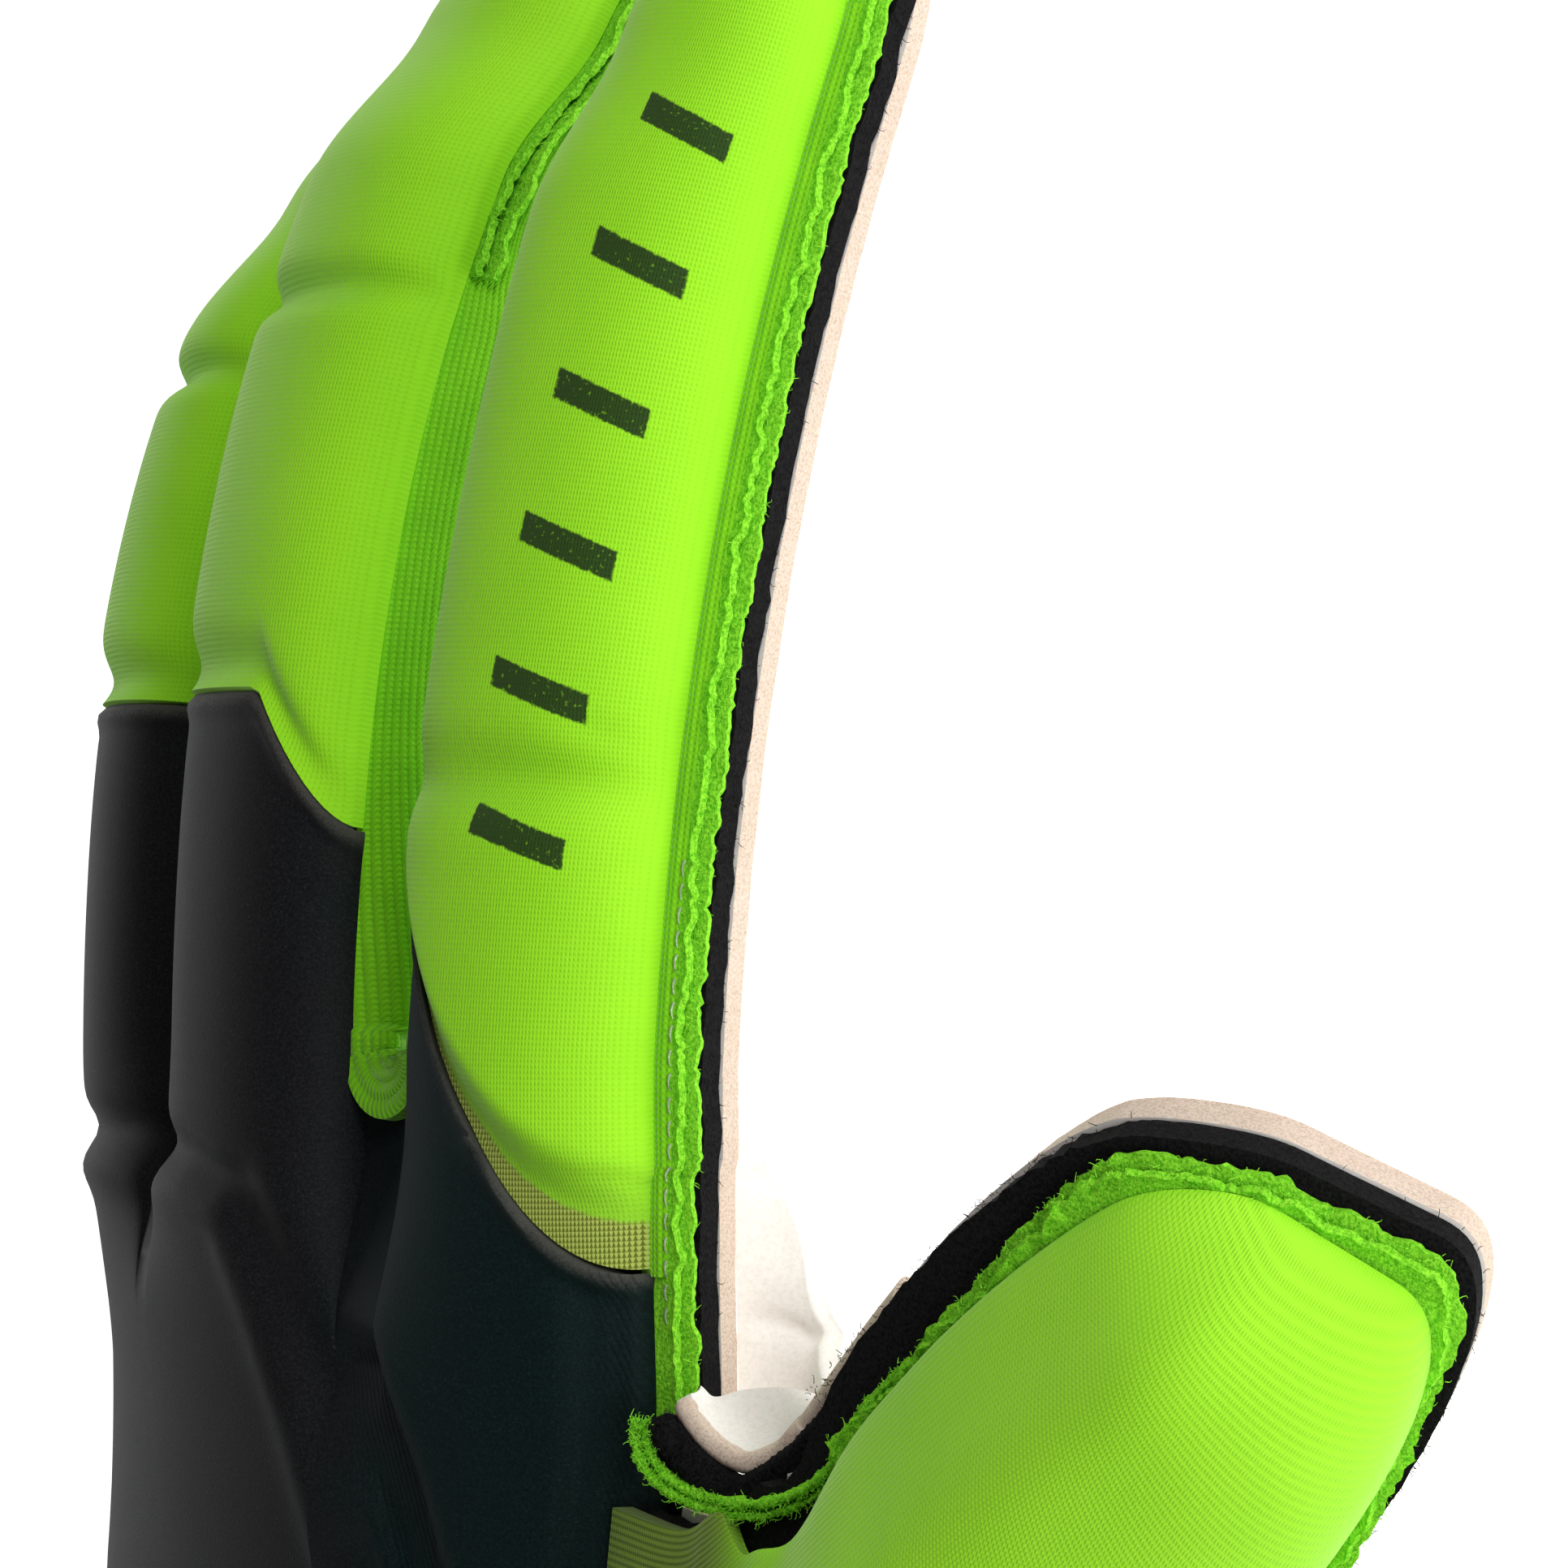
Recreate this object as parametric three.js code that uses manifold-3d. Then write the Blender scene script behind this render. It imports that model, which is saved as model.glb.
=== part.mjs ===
// Soccer goalkeeper glove for the left hand, lying palm down with its fingers arched.
// Millimetres. +Y runs from the cuff to the fingertips, +X to the thumb side, +Z up. Z 0 is the
// surface it lies on, and the middle of its outline is at X 0, Y 0.
//
// Most pieces are drawn on a flat pattern first: "across" from the little finger to the thumb side,
// "along" from the cuff's hem to the fingertips, and "up" from the palm's outer face. The function
// onHand then bends the pattern: along it the palm climbs and the fingers curl, across it the
// knuckles arch and the heel cups.

import * as THREE from 'three';
import Module from 'manifold-3d';

const wasm = await Module();
wasm.setup();

const gap = 0.3; // between touching pieces
const webThick = 2.2;
const latexThick = 2.6;
const backingThick = 2.1;
const padThick = 3.6; // foam and fabric of the back
const gussetThick = 1.4;
const gussetLean = 1.4; // how far in from its foot its top is
const gussetTuck = gussetThick + gap + 1.3; // the palm's sheet ends inside the gussets
const seamMargin = 2.4; // of flat sheet outside a pad
const seamHigh = 1.4; // two raw fabric edges
const seamWide = 4.6;

// Heights above the palm's outer face
const backingLow = latexThick + gap;
const backingTop = backingLow + backingThick;
const seamLow = backingTop + gap + 0.3;
const seamTop = seamLow + seamHigh;
const flatBase = seamTop + gap; // where a pad meets a flat seam
const gussetBase = 10.5; // where a pad meets a gusset

const heelAlong = 60; // the cuff ends and the hand begins
const cuffRise = 32;
const cuffHalf = 39.5;
const cuffThick = 2.4;
const cuffSunk = 1.2; // this much of the round tube is pressed flat
const strapThick = 2;
const strapFrom = 26;
const strapTo = 54;
const strapDown = 0.45; // radians below the wrist's widest point
const centreAcross = 33.335; // the outline's middle, which the part's origin lies under
const centreAlong = 131.816;

// Slope of the palm along the hand, in degrees, rising to the fingertips when positive
const spine = [
  { along: 0, pitch: 0 },
  { along: 62, pitch: 0 },
  { along: 80, pitch: 18 },
  { along: 128, pitch: 18 },
  { along: 270, pitch: -14 },
];
// Slope across the hand, in degrees, falling to the thumb side when positive: a cupped heel and an
// arch over the knuckles
const arch = [
  { across: -62, heel: 24, knuckles: -28 },
  { across: -30, heel: 12, knuckles: -26 },
  { across: 0, heel: 0, knuckles: -14 },
  { across: 30, heel: -12, knuckles: 5 },
  { across: 62, heel: -24, knuckles: 22 },
];
const heelEnd = 72; // the cup turns into the arch between these two
const knucklesStart = 150;
// Half widths of the palm's outline, and the height of the hand's back above the seam
const palmTable = [
  { along: 60, half: 41, rise: 22 },
  { along: 80, half: 46, rise: 18 },
  { along: 110, half: 52.5, rise: 12 },
  { along: 145, half: 57.5, rise: 10.5 },
  { along: 172, half: 58.6, rise: 11 },
];
// tip is along the pattern; low and high say which side, away from or to the thumb, is a flat seam
const fingers = [
  { name: 'little', centre: -45, half: 13.6, tip: 238, rise: 7.5, low: true, joints: [209], fan: -3 },
  { name: 'ring', centre: -15, half: 13.6, tip: 258, rise: 8.8, joints: [226], fan: -1, curl: 11 },
  { name: 'middle', centre: 15, half: 13.6, tip: 268, rise: 7.7, joints: [229], fan: 0.5, curl: 7 },
  { name: 'index', centre: 46.2, half: 12.4, tip: 262, rise: 6, high: true, joints: [], fan: 5, taper: 1.3 },
];
const curlFrom = 185;
const curlLength = 75;
// Where the row of finger roots crosses each finger's two sides
const rootTable = [
  { across: -58.6, along: 161 },
  { across: -30, along: 168 },
  { across: 0, along: 175 },
  { across: 30, along: 169.5 },
  { across: 58.6, along: 164 },
];
const rootHalf = 58.6;
const indexRise = 1.5; // the index finger's pad stands above the moulded back
const tipLength = 15;
const tipPower = 2.4;
const fadeLength = 14; // over which a gusset narrows before the round tip
const crownPower = 2.3;
// Where the moulded back ends on a finger. On the middle finger the end is cut off at a slant.
const panelEnds = { little: 188, ring: 198, middle: 198, index: 190 };
const panelEnd = (f, share) =>
  panelEnds[f.name] - (f.name === 'middle' ? 18 * Math.max(share - 0.45, 0) : 0);

// The value in column key of a table, at a place along its column by
function fromTable(table, by, key, at) {
  let i = 1;
  while (i < table.length - 1 && table[i][by] < at) i++;
  const [a, b] = [table[i - 1], table[i]];
  const share = THREE.MathUtils.clamp((at - a[by]) / (b[by] - a[by]), 0, 1);
  return THREE.MathUtils.lerp(a[key], b[key], share);
}

// Points 1 mm apart along a line whose slope a table gives
function traced(table, by, key, from, to, sign) {
  const line = [{ run: 0, rise: 0 }];
  for (let at = from; at < to; at++) {
    const slope = sign * THREE.MathUtils.degToRad(fromTable(table, by, key, at + 0.5));
    const last = line[line.length - 1];
    line.push({ run: last.run + Math.cos(slope), rise: last.rise + Math.sin(slope) });
  }
  return line;
}

function onLine(line, key, at) {
  const i = THREE.MathUtils.clamp(Math.floor(at), 0, line.length - 2);
  return THREE.MathUtils.lerp(line[i][key], line[i + 1][key], at - i);
}

const reach = 70; // to each side of the middle
const spineLine = traced(spine, 'along', 'pitch', 0, 290, 1);
const heelLine = traced(arch, 'across', 'heel', -reach, reach, -1);
const knuckleLine = traced(arch, 'across', 'knuckles', -reach, reach, -1);

// Pattern to space. curl lets a fingertip down by so many millimetres.
function onHand(across, along, up, curl = 0) {
  const share = THREE.MathUtils.smoothstep(along, heelEnd, knucklesStart);
  const from = (line, key) => onLine(line, key, across + reach) - onLine(line, key, reach);
  const blend = (key) => THREE.MathUtils.lerp(from(heelLine, key), from(knuckleLine, key), share);
  const slope = (key) => fromTable(arch, 'across', key, across);
  const tilt = THREE.MathUtils.degToRad(THREE.MathUtils.lerp(slope('heel'), slope('knuckles'), share));
  const high = blend('rise') + up * Math.cos(tilt);
  const pitch = THREE.MathUtils.degToRad(fromTable(spine, 'along', 'pitch', along));
  const bent = Math.max((along - curlFrom) / curlLength, 0) ** 2.4;
  return new THREE.Vector3(
    blend('run') + up * Math.sin(tilt) - centreAcross,
    onLine(spineLine, 'run', along) - high * Math.sin(pitch) - 0.3 * curl * bent - centreAlong,
    onLine(spineLine, 'rise', along) + high * Math.cos(pitch) - curl * bent,
  );
}

// A closed solid between two skins of a grid. place(column, row, side) gives the point of side 0 or
// 1, and keep(column, row) says which cells are there.
function shell(columns, rows, place, keep = () => true) {
  const points = [];
  const numbers = new Map();
  const number = (c, r, side) => {
    const key = `${c} ${r} ${side}`;
    if (!numbers.has(key)) {
      numbers.set(key, points.length / 3);
      points.push(...place(c, r, side).toArray());
    }
    return numbers.get(key);
  };
  const there = (c, r) => c >= 0 && r >= 0 && c < columns && r < rows && keep(c, r);
  const faces = [];
  const quad = (a, b, c, d) => faces.push(a, b, c, a, c, d);
  for (let c = 0; c < columns; c++) {
    for (let r = 0; r < rows; r++) {
      if (!there(c, r)) continue;
      const low = [[c, r], [c + 1, r], [c + 1, r + 1], [c, r + 1]].map(([i, j]) => number(i, j, 0));
      const top = [[c, r], [c + 1, r], [c + 1, r + 1], [c, r + 1]].map(([i, j]) => number(i, j, 1));
      quad(low[0], low[3], low[2], low[1]);
      quad(...top);
      if (!there(c, r - 1)) quad(low[0], low[1], top[1], top[0]);
      if (!there(c + 1, r)) quad(low[1], low[2], top[2], top[1]);
      if (!there(c, r + 1)) quad(low[2], low[3], top[3], top[2]);
      if (!there(c - 1, r)) quad(low[3], low[0], top[0], top[3]);
    }
  }
  return closed(points, faces);
}

// A geometry with its faces pointing out
function closed(points, faces) {
  const at = (i) => new THREE.Vector3().fromArray(points, 3 * i);
  let volume = 0;
  for (let i = 0; i < faces.length; i += 3) {
    volume += at(faces[i]).dot(at(faces[i + 1]).cross(at(faces[i + 2])));
  }
  if (volume < 0) faces.reverse();
  const geometry = new THREE.BufferGeometry();
  geometry.setAttribute('position', new THREE.Float32BufferAttribute(points, 3));
  geometry.setIndex(faces);
  return geometry;
}

function toSolid(geometry) {
  return new wasm.Manifold(new wasm.Mesh({
    numProp: 3,
    vertProperties: Float32Array.from(geometry.attributes.position.array),
    triVerts: Uint32Array.from(geometry.index.array),
  }));
}

function fromSolid(solid) {
  const mesh = solid.getMesh();
  const geometry = new THREE.BufferGeometry();
  geometry.setAttribute('position', new THREE.Float32BufferAttribute(mesh.vertProperties, 3));
  geometry.setIndex(Array.from(mesh.triVerts));
  return geometry;
}

// What cutters leave of a solid, without loose crumbs
function cut(geometry, ...cutters) {
  const left = cutters.reduce((solid, cutter) => solid.subtract(toSolid(cutter)), toSolid(geometry));
  const bodies = left.decompose().sort((a, b) => b.volume() - a.volume());
  return fromSolid(bodies[0]);
}

const onFinger = (f, across, along, up) => onHand(across, along, up, f?.curl ?? 0);

// A strip along a line on the pattern, wide on each side of it by half, between two heights. Each
// point of the line says how far across and along it is, and which finger it is on.
function ribbon(line, half, low, high, lean = () => 0) {
  const corner = (i, c) => {
    const before = line[Math.max(i - 1, 0)];
    const after = line[Math.min(i + 1, line.length - 1)];
    const run = new THREE.Vector2(after[0] - before[0], after[1] - before[1]).normalize();
    const side = (c === 1 || c === 2 ? half : -half) - (c < 2 ? 0 : lean(line[i][1], i));
    const [across, along] = [line[i][0] - run.y * side, line[i][1] + run.x * side];
    const up = c < 2 ? low(line[i][1], i) : high(line[i][1], i);
    return onFinger(line[i][2], across, along, up);
  };
  const points = [];
  const faces = [];
  line.forEach((_, i) => {
    for (let c = 0; c < 4; c++) points.push(...corner(i, c).toArray());
  });
  const quad = (a, b, c, d) => faces.push(a, b, c, a, c, d);
  for (let i = 0; i < line.length - 1; i++) {
    for (let c = 0; c < 4; c++) {
      const next = (c + 1) % 4;
      quad(4 * i + c, 4 * i + next, 4 * i + 4 + next, 4 * i + 4 + c);
    }
  }
  quad(3, 2, 1, 0);
  const last = 4 * (line.length - 1);
  quad(last, last + 1, last + 2, last + 3);
  return closed(points, faces);
}

const stepsBetween = (from, to, count) =>
  Array.from({ length: count + 1 }, (_, i) => THREE.MathUtils.lerp(from, to, i / count));
const smooth = THREE.MathUtils.smoothstep;
const finger = Object.fromEntries(fingers.map((f) => [f.name, f]));
const rootAt = (across) => fromTable(rootTable, 'across', 'along', across);
const centreOf = (f, along) => f.centre + f.fan * Math.max(along - 172, 0) / 80;
const superellipse = (share, power) => (1 - Math.min(Math.abs(share), 1) ** power) ** (1 / power);

// How far round the tip a place along a finger is, as an angle from 0 to a right angle
function tipAngle(f, along, inset) {
  const share = (along - (f.tip - tipLength)) / (tipLength - inset);
  return Math.asin(THREE.MathUtils.clamp(share, 0, 1) ** (tipPower / 2));
}
const tipWide = (angle) => Math.cos(0.8 * angle) ** (2 / tipPower);
const tipRise = (angle) => Math.max(Math.cos(angle), 0) ** (2 / tipPower);

// The side of a finger, inside the edge of the sheet by inset
function fingerSide(f, side, along, inset = 0) {
  const narrow = (f.taper ?? 0) * Math.max(along - 172, 0) / 80;
  return centreOf(f, along) + side * (f.half - narrow - inset) * tipWide(tipAngle(f, along, inset));
}

// Where a finger's rows lie, from the roots to where its round tip begins
function rowsOf(f) {
  const straight = f.tip - tipLength;
  const rows = f.joints.flatMap((joint) => [-8, -3, 0, 3, 8].map((d) => joint + d));
  rows.push(...stepsBetween(straight - fadeLength, straight, 4));
  rows.push(...[184, 194, 204, 214].filter((along) => along < rows[0] - 4));
  rows.sort((a, b) => a - b);
  return rows.filter((along, i) => along === straight || rows[i + 1] - along > 1.5);
}

const isFlat = (f, side) => (side < 0 ? f.low : f.high);

// The same for a pad, which is narrower where a gusset leans in to it
function padSide(f, share, along, inset) {
  const side = share < 0 ? -1 : 1;
  const lean = isFlat(f, side)
    ? seamMargin
    : THREE.MathUtils.lerp(gussetLean, seamMargin, smooth(along, f.tip - 34, f.tip - 10));
  const away = fingerSide(f, side, along, inset + lean) - centreOf(f, along);
  return centreOf(f, along) + Math.abs(share) * away;
}

// Height where a pad's rim lies, for a place from -1 to 1 across a finger
function rimAt(f, share, along) {
  const fade = smooth(along, f.tip - tipLength - fadeLength, f.tip - tipLength);
  const away = f.low ? flatBase : THREE.MathUtils.lerp(gussetBase, flatBase, fade);
  const near = f.high ? flatBase : THREE.MathUtils.lerp(gussetBase, flatBase, fade);
  return THREE.MathUtils.lerp(away, near, (share + 1) / 2);
}

// Height of a finger's pad. The cross grooves are where the foam is pressed flat over a joint.
function fingerTop(f, share, along, inset) {
  let rise = (f.rise - inset) * tipRise(tipAngle(f, along, inset + seamMargin));
  for (const joint of f.joints) rise -= 2.2 * Math.exp(-(((along - joint) / 2.2) ** 2));
  rise -= 1.6 * Math.exp(-(((along - panelEnd(f, share) - 2) / 2.2) ** 2));
  return rimAt(f, share, along) + rise * superellipse(share, crownPower);
}

function handTop(across, along, inset) {
  const half = fromTable(palmTable, 'along', 'half', along) - seamMargin - inset;
  const rise = fromTable(palmTable, 'along', 'rise', along) - inset;
  return flatBase + rise * superellipse(across / half, 2.4);
}

// Grid lines across the hand: shares of each finger's width, with one cell for each gap between
const shares = [-90, -56, -28, 0, 28, 56, 90].map((a) => Math.sin(THREE.MathUtils.degToRad(a)));
const lines = fingers.flatMap((f) => shares.map((share) => ({ f, share })));
const isGap = (column) => column % shares.length === shares.length - 1;

const handStages = [0, 0.14, 0.28, 0.42, 0.56, 0.7, 0.8, 0.88, 0.95, 1];

// Point of the palm's sheet at grid line c, at a share of the way from the heel to the finger
// roots (stage up to 1) or along the finger (above 1)
function sheetPlace(c, stage, up) {
  const { f, share } = lines[c];
  const side = share < 0 ? -1 : 1;
  const tuck = isFlat(f, side) ? 0 : gussetTuck;
  const rootAcross = f.centre + share * (f.half - tuck);
  const root = rootAt(f.centre + share * f.half);
  if (stage <= 1) {
    const along = THREE.MathUtils.lerp(heelAlong, root, stage);
    const across = (rootAcross / rootHalf) * fromTable(palmTable, 'along', 'half', along);
    return onHand(across, along, up);
  }
  const along = THREE.MathUtils.lerp(root, f.tip, stage - 1);
  const away = fingerSide(f, side, along, tuck) - centreOf(f, along);
  return onFinger(f, centreOf(f, along) + Math.abs(share) * away, along, up);
}

function palmSheet(low, high) {
  const picked = [0, 2, 4, 6];
  const columns = fingers.flatMap((_, k) => picked.map((i) => k * shares.length + i));
  const stages = [...handStages, 1.2, 1.4, 1.6, 1.78, 1.88, 1.95, 1.985, 2];
  const roots = handStages.length - 1;
  const place = (c, r, side) => sheetPlace(columns[c], stages[r], side ? high : low);
  const keep = (c, r) => r < roots || c % picked.length !== picked.length - 1;
  return shell(columns.length - 1, stages.length - 1, place, keep);
}

// Point of the back's skin, as much inside its outer face as inset says
function backPlace(c, stage, inset) {
  const { f, share } = lines[c];
  const root = rootAt(f.centre + share * f.half);
  if (stage <= 1) {
    const along = THREE.MathUtils.lerp(heelAlong, root, stage);
    const merge = smooth(along, root - 24, root);
    const side = share < 0 ? -1 : 1;
    const inward = isFlat(f, side) ? inset + seamMargin : (inset + gussetLean) * merge;
    const across = ((f.centre + share * (f.half - inward)) / rootHalf)
      * fromTable(palmTable, 'along', 'half', along);
    const hand = handTop(across, along, inset);
    return onHand(across, along, THREE.MathUtils.lerp(hand, fingerTop(f, share, along, inset), merge));
  }
  const along = THREE.MathUtils.lerp(root, panelEnd(f, share), stage - 1);
  return onFinger(f, padSide(f, share, along, inset), along, fingerTop(f, share, along, inset));
}
const backStages = [...handStages, 1.5, 1.9, 2];
const backKeep = (c, r) => r < handStages.length - 1 || !isGap(c);

// The moulded back of the hand and of the finger roots
function backhandPanel() {
  const place = (c, r, side) => backPlace(c, backStages[r], side ? 0 : padThick);
  return shell(lines.length - 1, backStages.length - 1, place, backKeep);
}

// Two solids that fill the hand and a little more: its palm and its back
function handZones(grow) {
  const flat = (c, r, side) => {
    const { f, share } = lines[c];
    const rootAcross = f.centre + share * f.half;
    const along = THREE.MathUtils.lerp(heelAlong, rootAt(rootAcross), r ? handStages[r] : -0.08);
    const half = fromTable(palmTable, 'along', 'half', along) + 2.4 * grow;
    return onHand((rootAcross / rootHalf) * half, along, side ? flatBase + 0.6 : -grow);
  };
  const high = (c, r, side) => {
    const stage = r ? handStages[r] : -0.08;
    return side ? backPlace(c, stage, -grow) : backPlace(c, stage, padThick + 3);
  };
  return [flat, high].map((place) => shell(lines.length - 1, handStages.length - 1, place));
}

function fingerPad(f) {
  const straight = f.tip - tipLength;
  const tip = stepsBetween(0, 1, 5).slice(1).map((s) => Math.sin((s * Math.PI) / 2) ** (2 / tipPower));
  const start = panelEnds[f.name] + gap;
  const rows = [
    { from: 0 },
    { from: 3.5 },
    ...rowsOf(f).filter((along) => along > start + 6).map((along) => ({ along })),
    ...tip.map((round) => ({ round })),
  ];
  const place = (c, r, side) => {
    const inset = side ? 0 : padThick;
    const share = shares[c];
    const { from, along = from + panelEnd(f, share) + gap, round } = rows[r];
    const at = round ? straight + round * (tipLength - seamMargin - inset) : along;
    return onFinger(f, padSide(f, share, at, inset), at, fingerTop(f, share, at, inset));
  };
  return shell(shares.length - 1, rows.length - 1, place);
}

// The index finger's pad, which goes on over the side of the hand
function indexPad() {
  const f = finger.index;
  const straight = f.tip - tipLength;
  const tip = stepsBetween(0, 1, 5).slice(1).map((s) => Math.sin((s * Math.PI) / 2) ** (2 / tipPower));
  const first = lines.findIndex((line) => line.f === f);
  const rows = [
    ...[0.86, 0.9, 0.95, 1].map((stage) => ({ stage })),
    ...rowsOf(f).map((along) => ({ along })),
    ...tip.map((round) => ({ round })),
  ];
  const place = (c, r, side) => {
    const inset = side ? -indexRise : padThick;
    const share = shares[c];
    const { stage, along, round } = rows[r];
    if (stage) return backPlace(first + c, stage, inset);
    const at = round ? straight + round * (tipLength - seamMargin - Math.max(inset, 0)) : along;
    return onFinger(f, padSide(f, share, at, Math.max(inset, 0)), at, fingerTop(f, share, at, inset));
  };
  return shell(shares.length - 1, rows.length - 1, place);
}

// The slanting line where the index finger's pad ends on the back of the hand
function indexBorder(grow) {
  const f = finger.index;
  const border = stepsBetween(-1.3, 1.3, 8).map((share) => {
    const rest = Math.max((1 - share) / 2, 0);
    return [f.centre + share * f.half, 157 + 30 * rest ** 1.8 + grow];
  });
  return border;
}

function indexZone(grow) {
  const border = indexBorder(grow);
  const place = (c, r, side) => {
    const [across, along] = border[c];
    return onHand(across, r ? 275 : along, side ? 42 : seamLow);
  };
  return shell(border.length - 1, 1, place);
}

// Knit wall between two fingers: up one finger, round the root and back along the other
function gusset(left, right) {
  const inset = gussetThick / 2 + 0.1;
  const root = rootAt(left.centre + left.half + 1.4);
  const sideRows = (f) => [root, root + 2, root + 8, ...rowsOf(f).filter((along) => along > root + 12)];
  const side = (f, sign) => sideRows(f).map((along) => [fingerSide(f, sign, along, inset), along, f]);
  const [up, down] = [side(left, 1).reverse(), side(right, -1)];
  const [from, to] = [up[up.length - 1], down[0]];
  const middle = (from[0] + to[0]) / 2;
  const apart = (to[0] - from[0]) / 2;
  const bow = stepsBetween(0, Math.PI, 6).slice(1, -1).map((angle) =>
    [middle - apart * Math.cos(angle), root - 1.3 * apart * Math.sin(angle)]);
  const line = [...up, ...bow, ...down];
  const owner = (i) => (i < up.length ? left : i >= line.length - down.length ? right : null);
  const top = (along, i) => {
    const f = owner(i);
    if (!f) return gussetBase - 2 * gap;
    return rimAt({ ...f, low: false, high: false }, 1, along) - gap - 0.2;
  };
  const lean = (along, i) => {
    const f = owner(i);
    return f ? gussetLean * (1 - smooth(along, f.tip - 34, f.tip - 10)) : gussetLean;
  };
  const foot = (along, i) => (owner(i) && along > root + 1.5 ? gap : seamLow);
  return ribbon(line, gussetThick / 2, foot, top, lean);
}

// Raw double edge of the back, sewn flat on the palm: down one or both sides of a finger and round
// its tip
function fingerSeam(f, lowFrom, highFrom) {
  const inset = seamWide / 2 - 0.6;
  const straight = f.tip - tipLength;
  const tipSteps = stepsBetween(0, 1, 5).map((s) => Math.sin((s * Math.PI) / 2) ** (2 / tipPower));
  const tip = tipSteps.map((round) => straight + round * (tipLength - inset));
  const side = (sign) => {
    const root = rootAt(f.centre + sign * f.half);
    const hand = handStages.map((stage) => THREE.MathUtils.lerp(heelAlong, root, stage));
    const from = sign < 0 ? lowFrom : highFrom;
    const rows = [...hand, root + 8, root + 18, ...rowsOf(f).filter((along) => along > root + 22)];
    return [from, ...rows.filter((along) => along > from + 1), ...tip.slice(1)]
      .map((along) => [edgeAcross(f, sign, along, inset), along, f]);
  };
  const line = [...side(-1), ...side(1).reverse()];
  return ribbon(line, seamWide / 2, () => seamLow, () => seamTop);
}

// The outline of the whole palm, also below the finger roots
function edgeAcross(f, sign, along, inset) {
  if (along > rootAt(f.centre + sign * f.half)) return fingerSide(f, sign, along, inset);
  return sign * (fromTable(palmTable, 'along', 'half', along) - inset);
}

// The thumb is ruled between two edges, each a smooth curve through these rows. web is the edge
// to the index finger, outer the edge to the wrist.
const thumbTable = [
  { web: [44, 140, 22], outer: [28, 67, 9] },
  { web: [57, 137.5, 22.5], outer: [44, 69, 11.5] },
  { web: [65.6, 138.3, 21.8], outer: [54, 77, 10] },
  { web: [77.8, 148.4, 23.5], outer: [66, 90, 7] },
  { web: [90.4, 158.9, 24.6], outer: [82, 110, 2.8] },
  { web: [101.4, 166.2, 24], outer: [102, 133, 0.8] },
  { web: [111.4, 170.6, 21.5], outer: [127, 162, 0.8] },
];
const shifted = ([x, y, z]) => new THREE.Vector3(x - centreAcross, y - centreAlong, z);
const thumbCurve = (key) =>
  new THREE.CatmullRomCurve3(thumbTable.map((row) => shifted(row[key])), false, 'catmullrom', 0.5);
const webCurve = thumbCurve('web');
const outerCurve = thumbCurve('outer');
const thumbRise = 13;
const thumbTip = 0.12; // share of the thumb's length that its round tip takes

// Point of the thumb: share from -1 (outer) to 1 (web) across it, stage from 0 to 1 along it
function onThumb(share, stage, up) {
  const [web, outer] = [webCurve.getPoint(stage), outerCurve.getPoint(stage)];
  const run = webCurve.getTangent(stage).add(outerCurve.getTangent(stage));
  const normal = new THREE.Vector3().subVectors(web, outer).cross(run).normalize().negate();
  if (normal.z < 0) normal.negate();
  return outer.lerp(web, (share + 1) / 2).addScaledVector(normal, up);
}
const thumbAngle = (stage, inset) =>
  Math.asin(THREE.MathUtils.clamp((stage - 1 + thumbTip) / (thumbTip - inset), 0, 1) ** (tipPower / 2));
const thumbStages = [0, 0.1, 0.2, 0.3, 0.4, 0.52, 0.64, 0.76, 1 - thumbTip];
const thumbRound = stepsBetween(0, 1, 5).slice(1)
  .map((s) => Math.sin((s * Math.PI) / 2) ** (2 / tipPower));

function thumbSheet(low, high, webShare = 1) {
  const count = 6;
  const stages = [...thumbStages, ...thumbRound.map((round) => 1 - thumbTip + round * thumbTip)];
  const place = (c, r, side) => {
    const share = (2 * c / count - 1) * tipWide(thumbAngle(stages[r], 0));
    return onThumb(share > 0 ? share * webShare : share, stages[r], side ? high : low);
  };
  return shell(count, stages.length - 1, place);
}

function thumbPad() {
  const mid = 30; // about half the thumb's mean width, to turn millimetres into shares
  const place = (c, r, side) => {
    const thick = side ? 0 : padThick;
    const inset = (shares[c] > 0 ? 3.6 : 1.6) / mid + thick / mid;
    const endInset = (2 + thick) / 120;
    const stage = r < thumbStages.length
      ? thumbStages[r]
      : 1 - thumbTip + thumbRound[r - thumbStages.length] * (thumbTip - endInset);
    const angle = thumbAngle(stage, endInset);
    const share = shares[c] * (1 - inset) * tipWide(angle);
    const high = thumbRise * (1 - (1 - smooth(stage, 0.12, 0.5)) * smooth(shares[c], -0.3, 0.9));
    const rise = Math.max(high - thick, 0) * tipRise(angle) * superellipse(shares[c], crownPower);
    return onThumb(share, stage, flatBase + rise);
  };
  return shell(shares.length - 1, thumbStages.length + thumbRound.length - 1, place);
}

function thumbSeam() {
  const half = seamWide / 2 / 20;
  const stages = [...thumbStages, ...thumbRound.map((round) => 1 - thumbTip + round * (thumbTip - 0.012))];
  const edge = (sign) => stages.map((stage) => {
    const angle = thumbAngle(stage, 0.012);
    return { sign, stage, share: (sign > 0 ? 0.88 : -0.98) * tipWide(angle) };
  });
  const line = [...edge(-1), ...edge(1).reverse()];
  const columns = line.length - 1;
  const place = (c, r, side) => {
    const { share, stage } = line[c];
    const angle = thumbAngle(stage, 0.012);
    const inward = r ? 1 : 1 - half * 1.6;
    const back = r ? 0 : 0.03 * Math.sin(angle);
    return onThumb(share * inward, stage - back, side ? seamTop : seamLow);
  };
  return shell(columns, 1, place);
}

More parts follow.
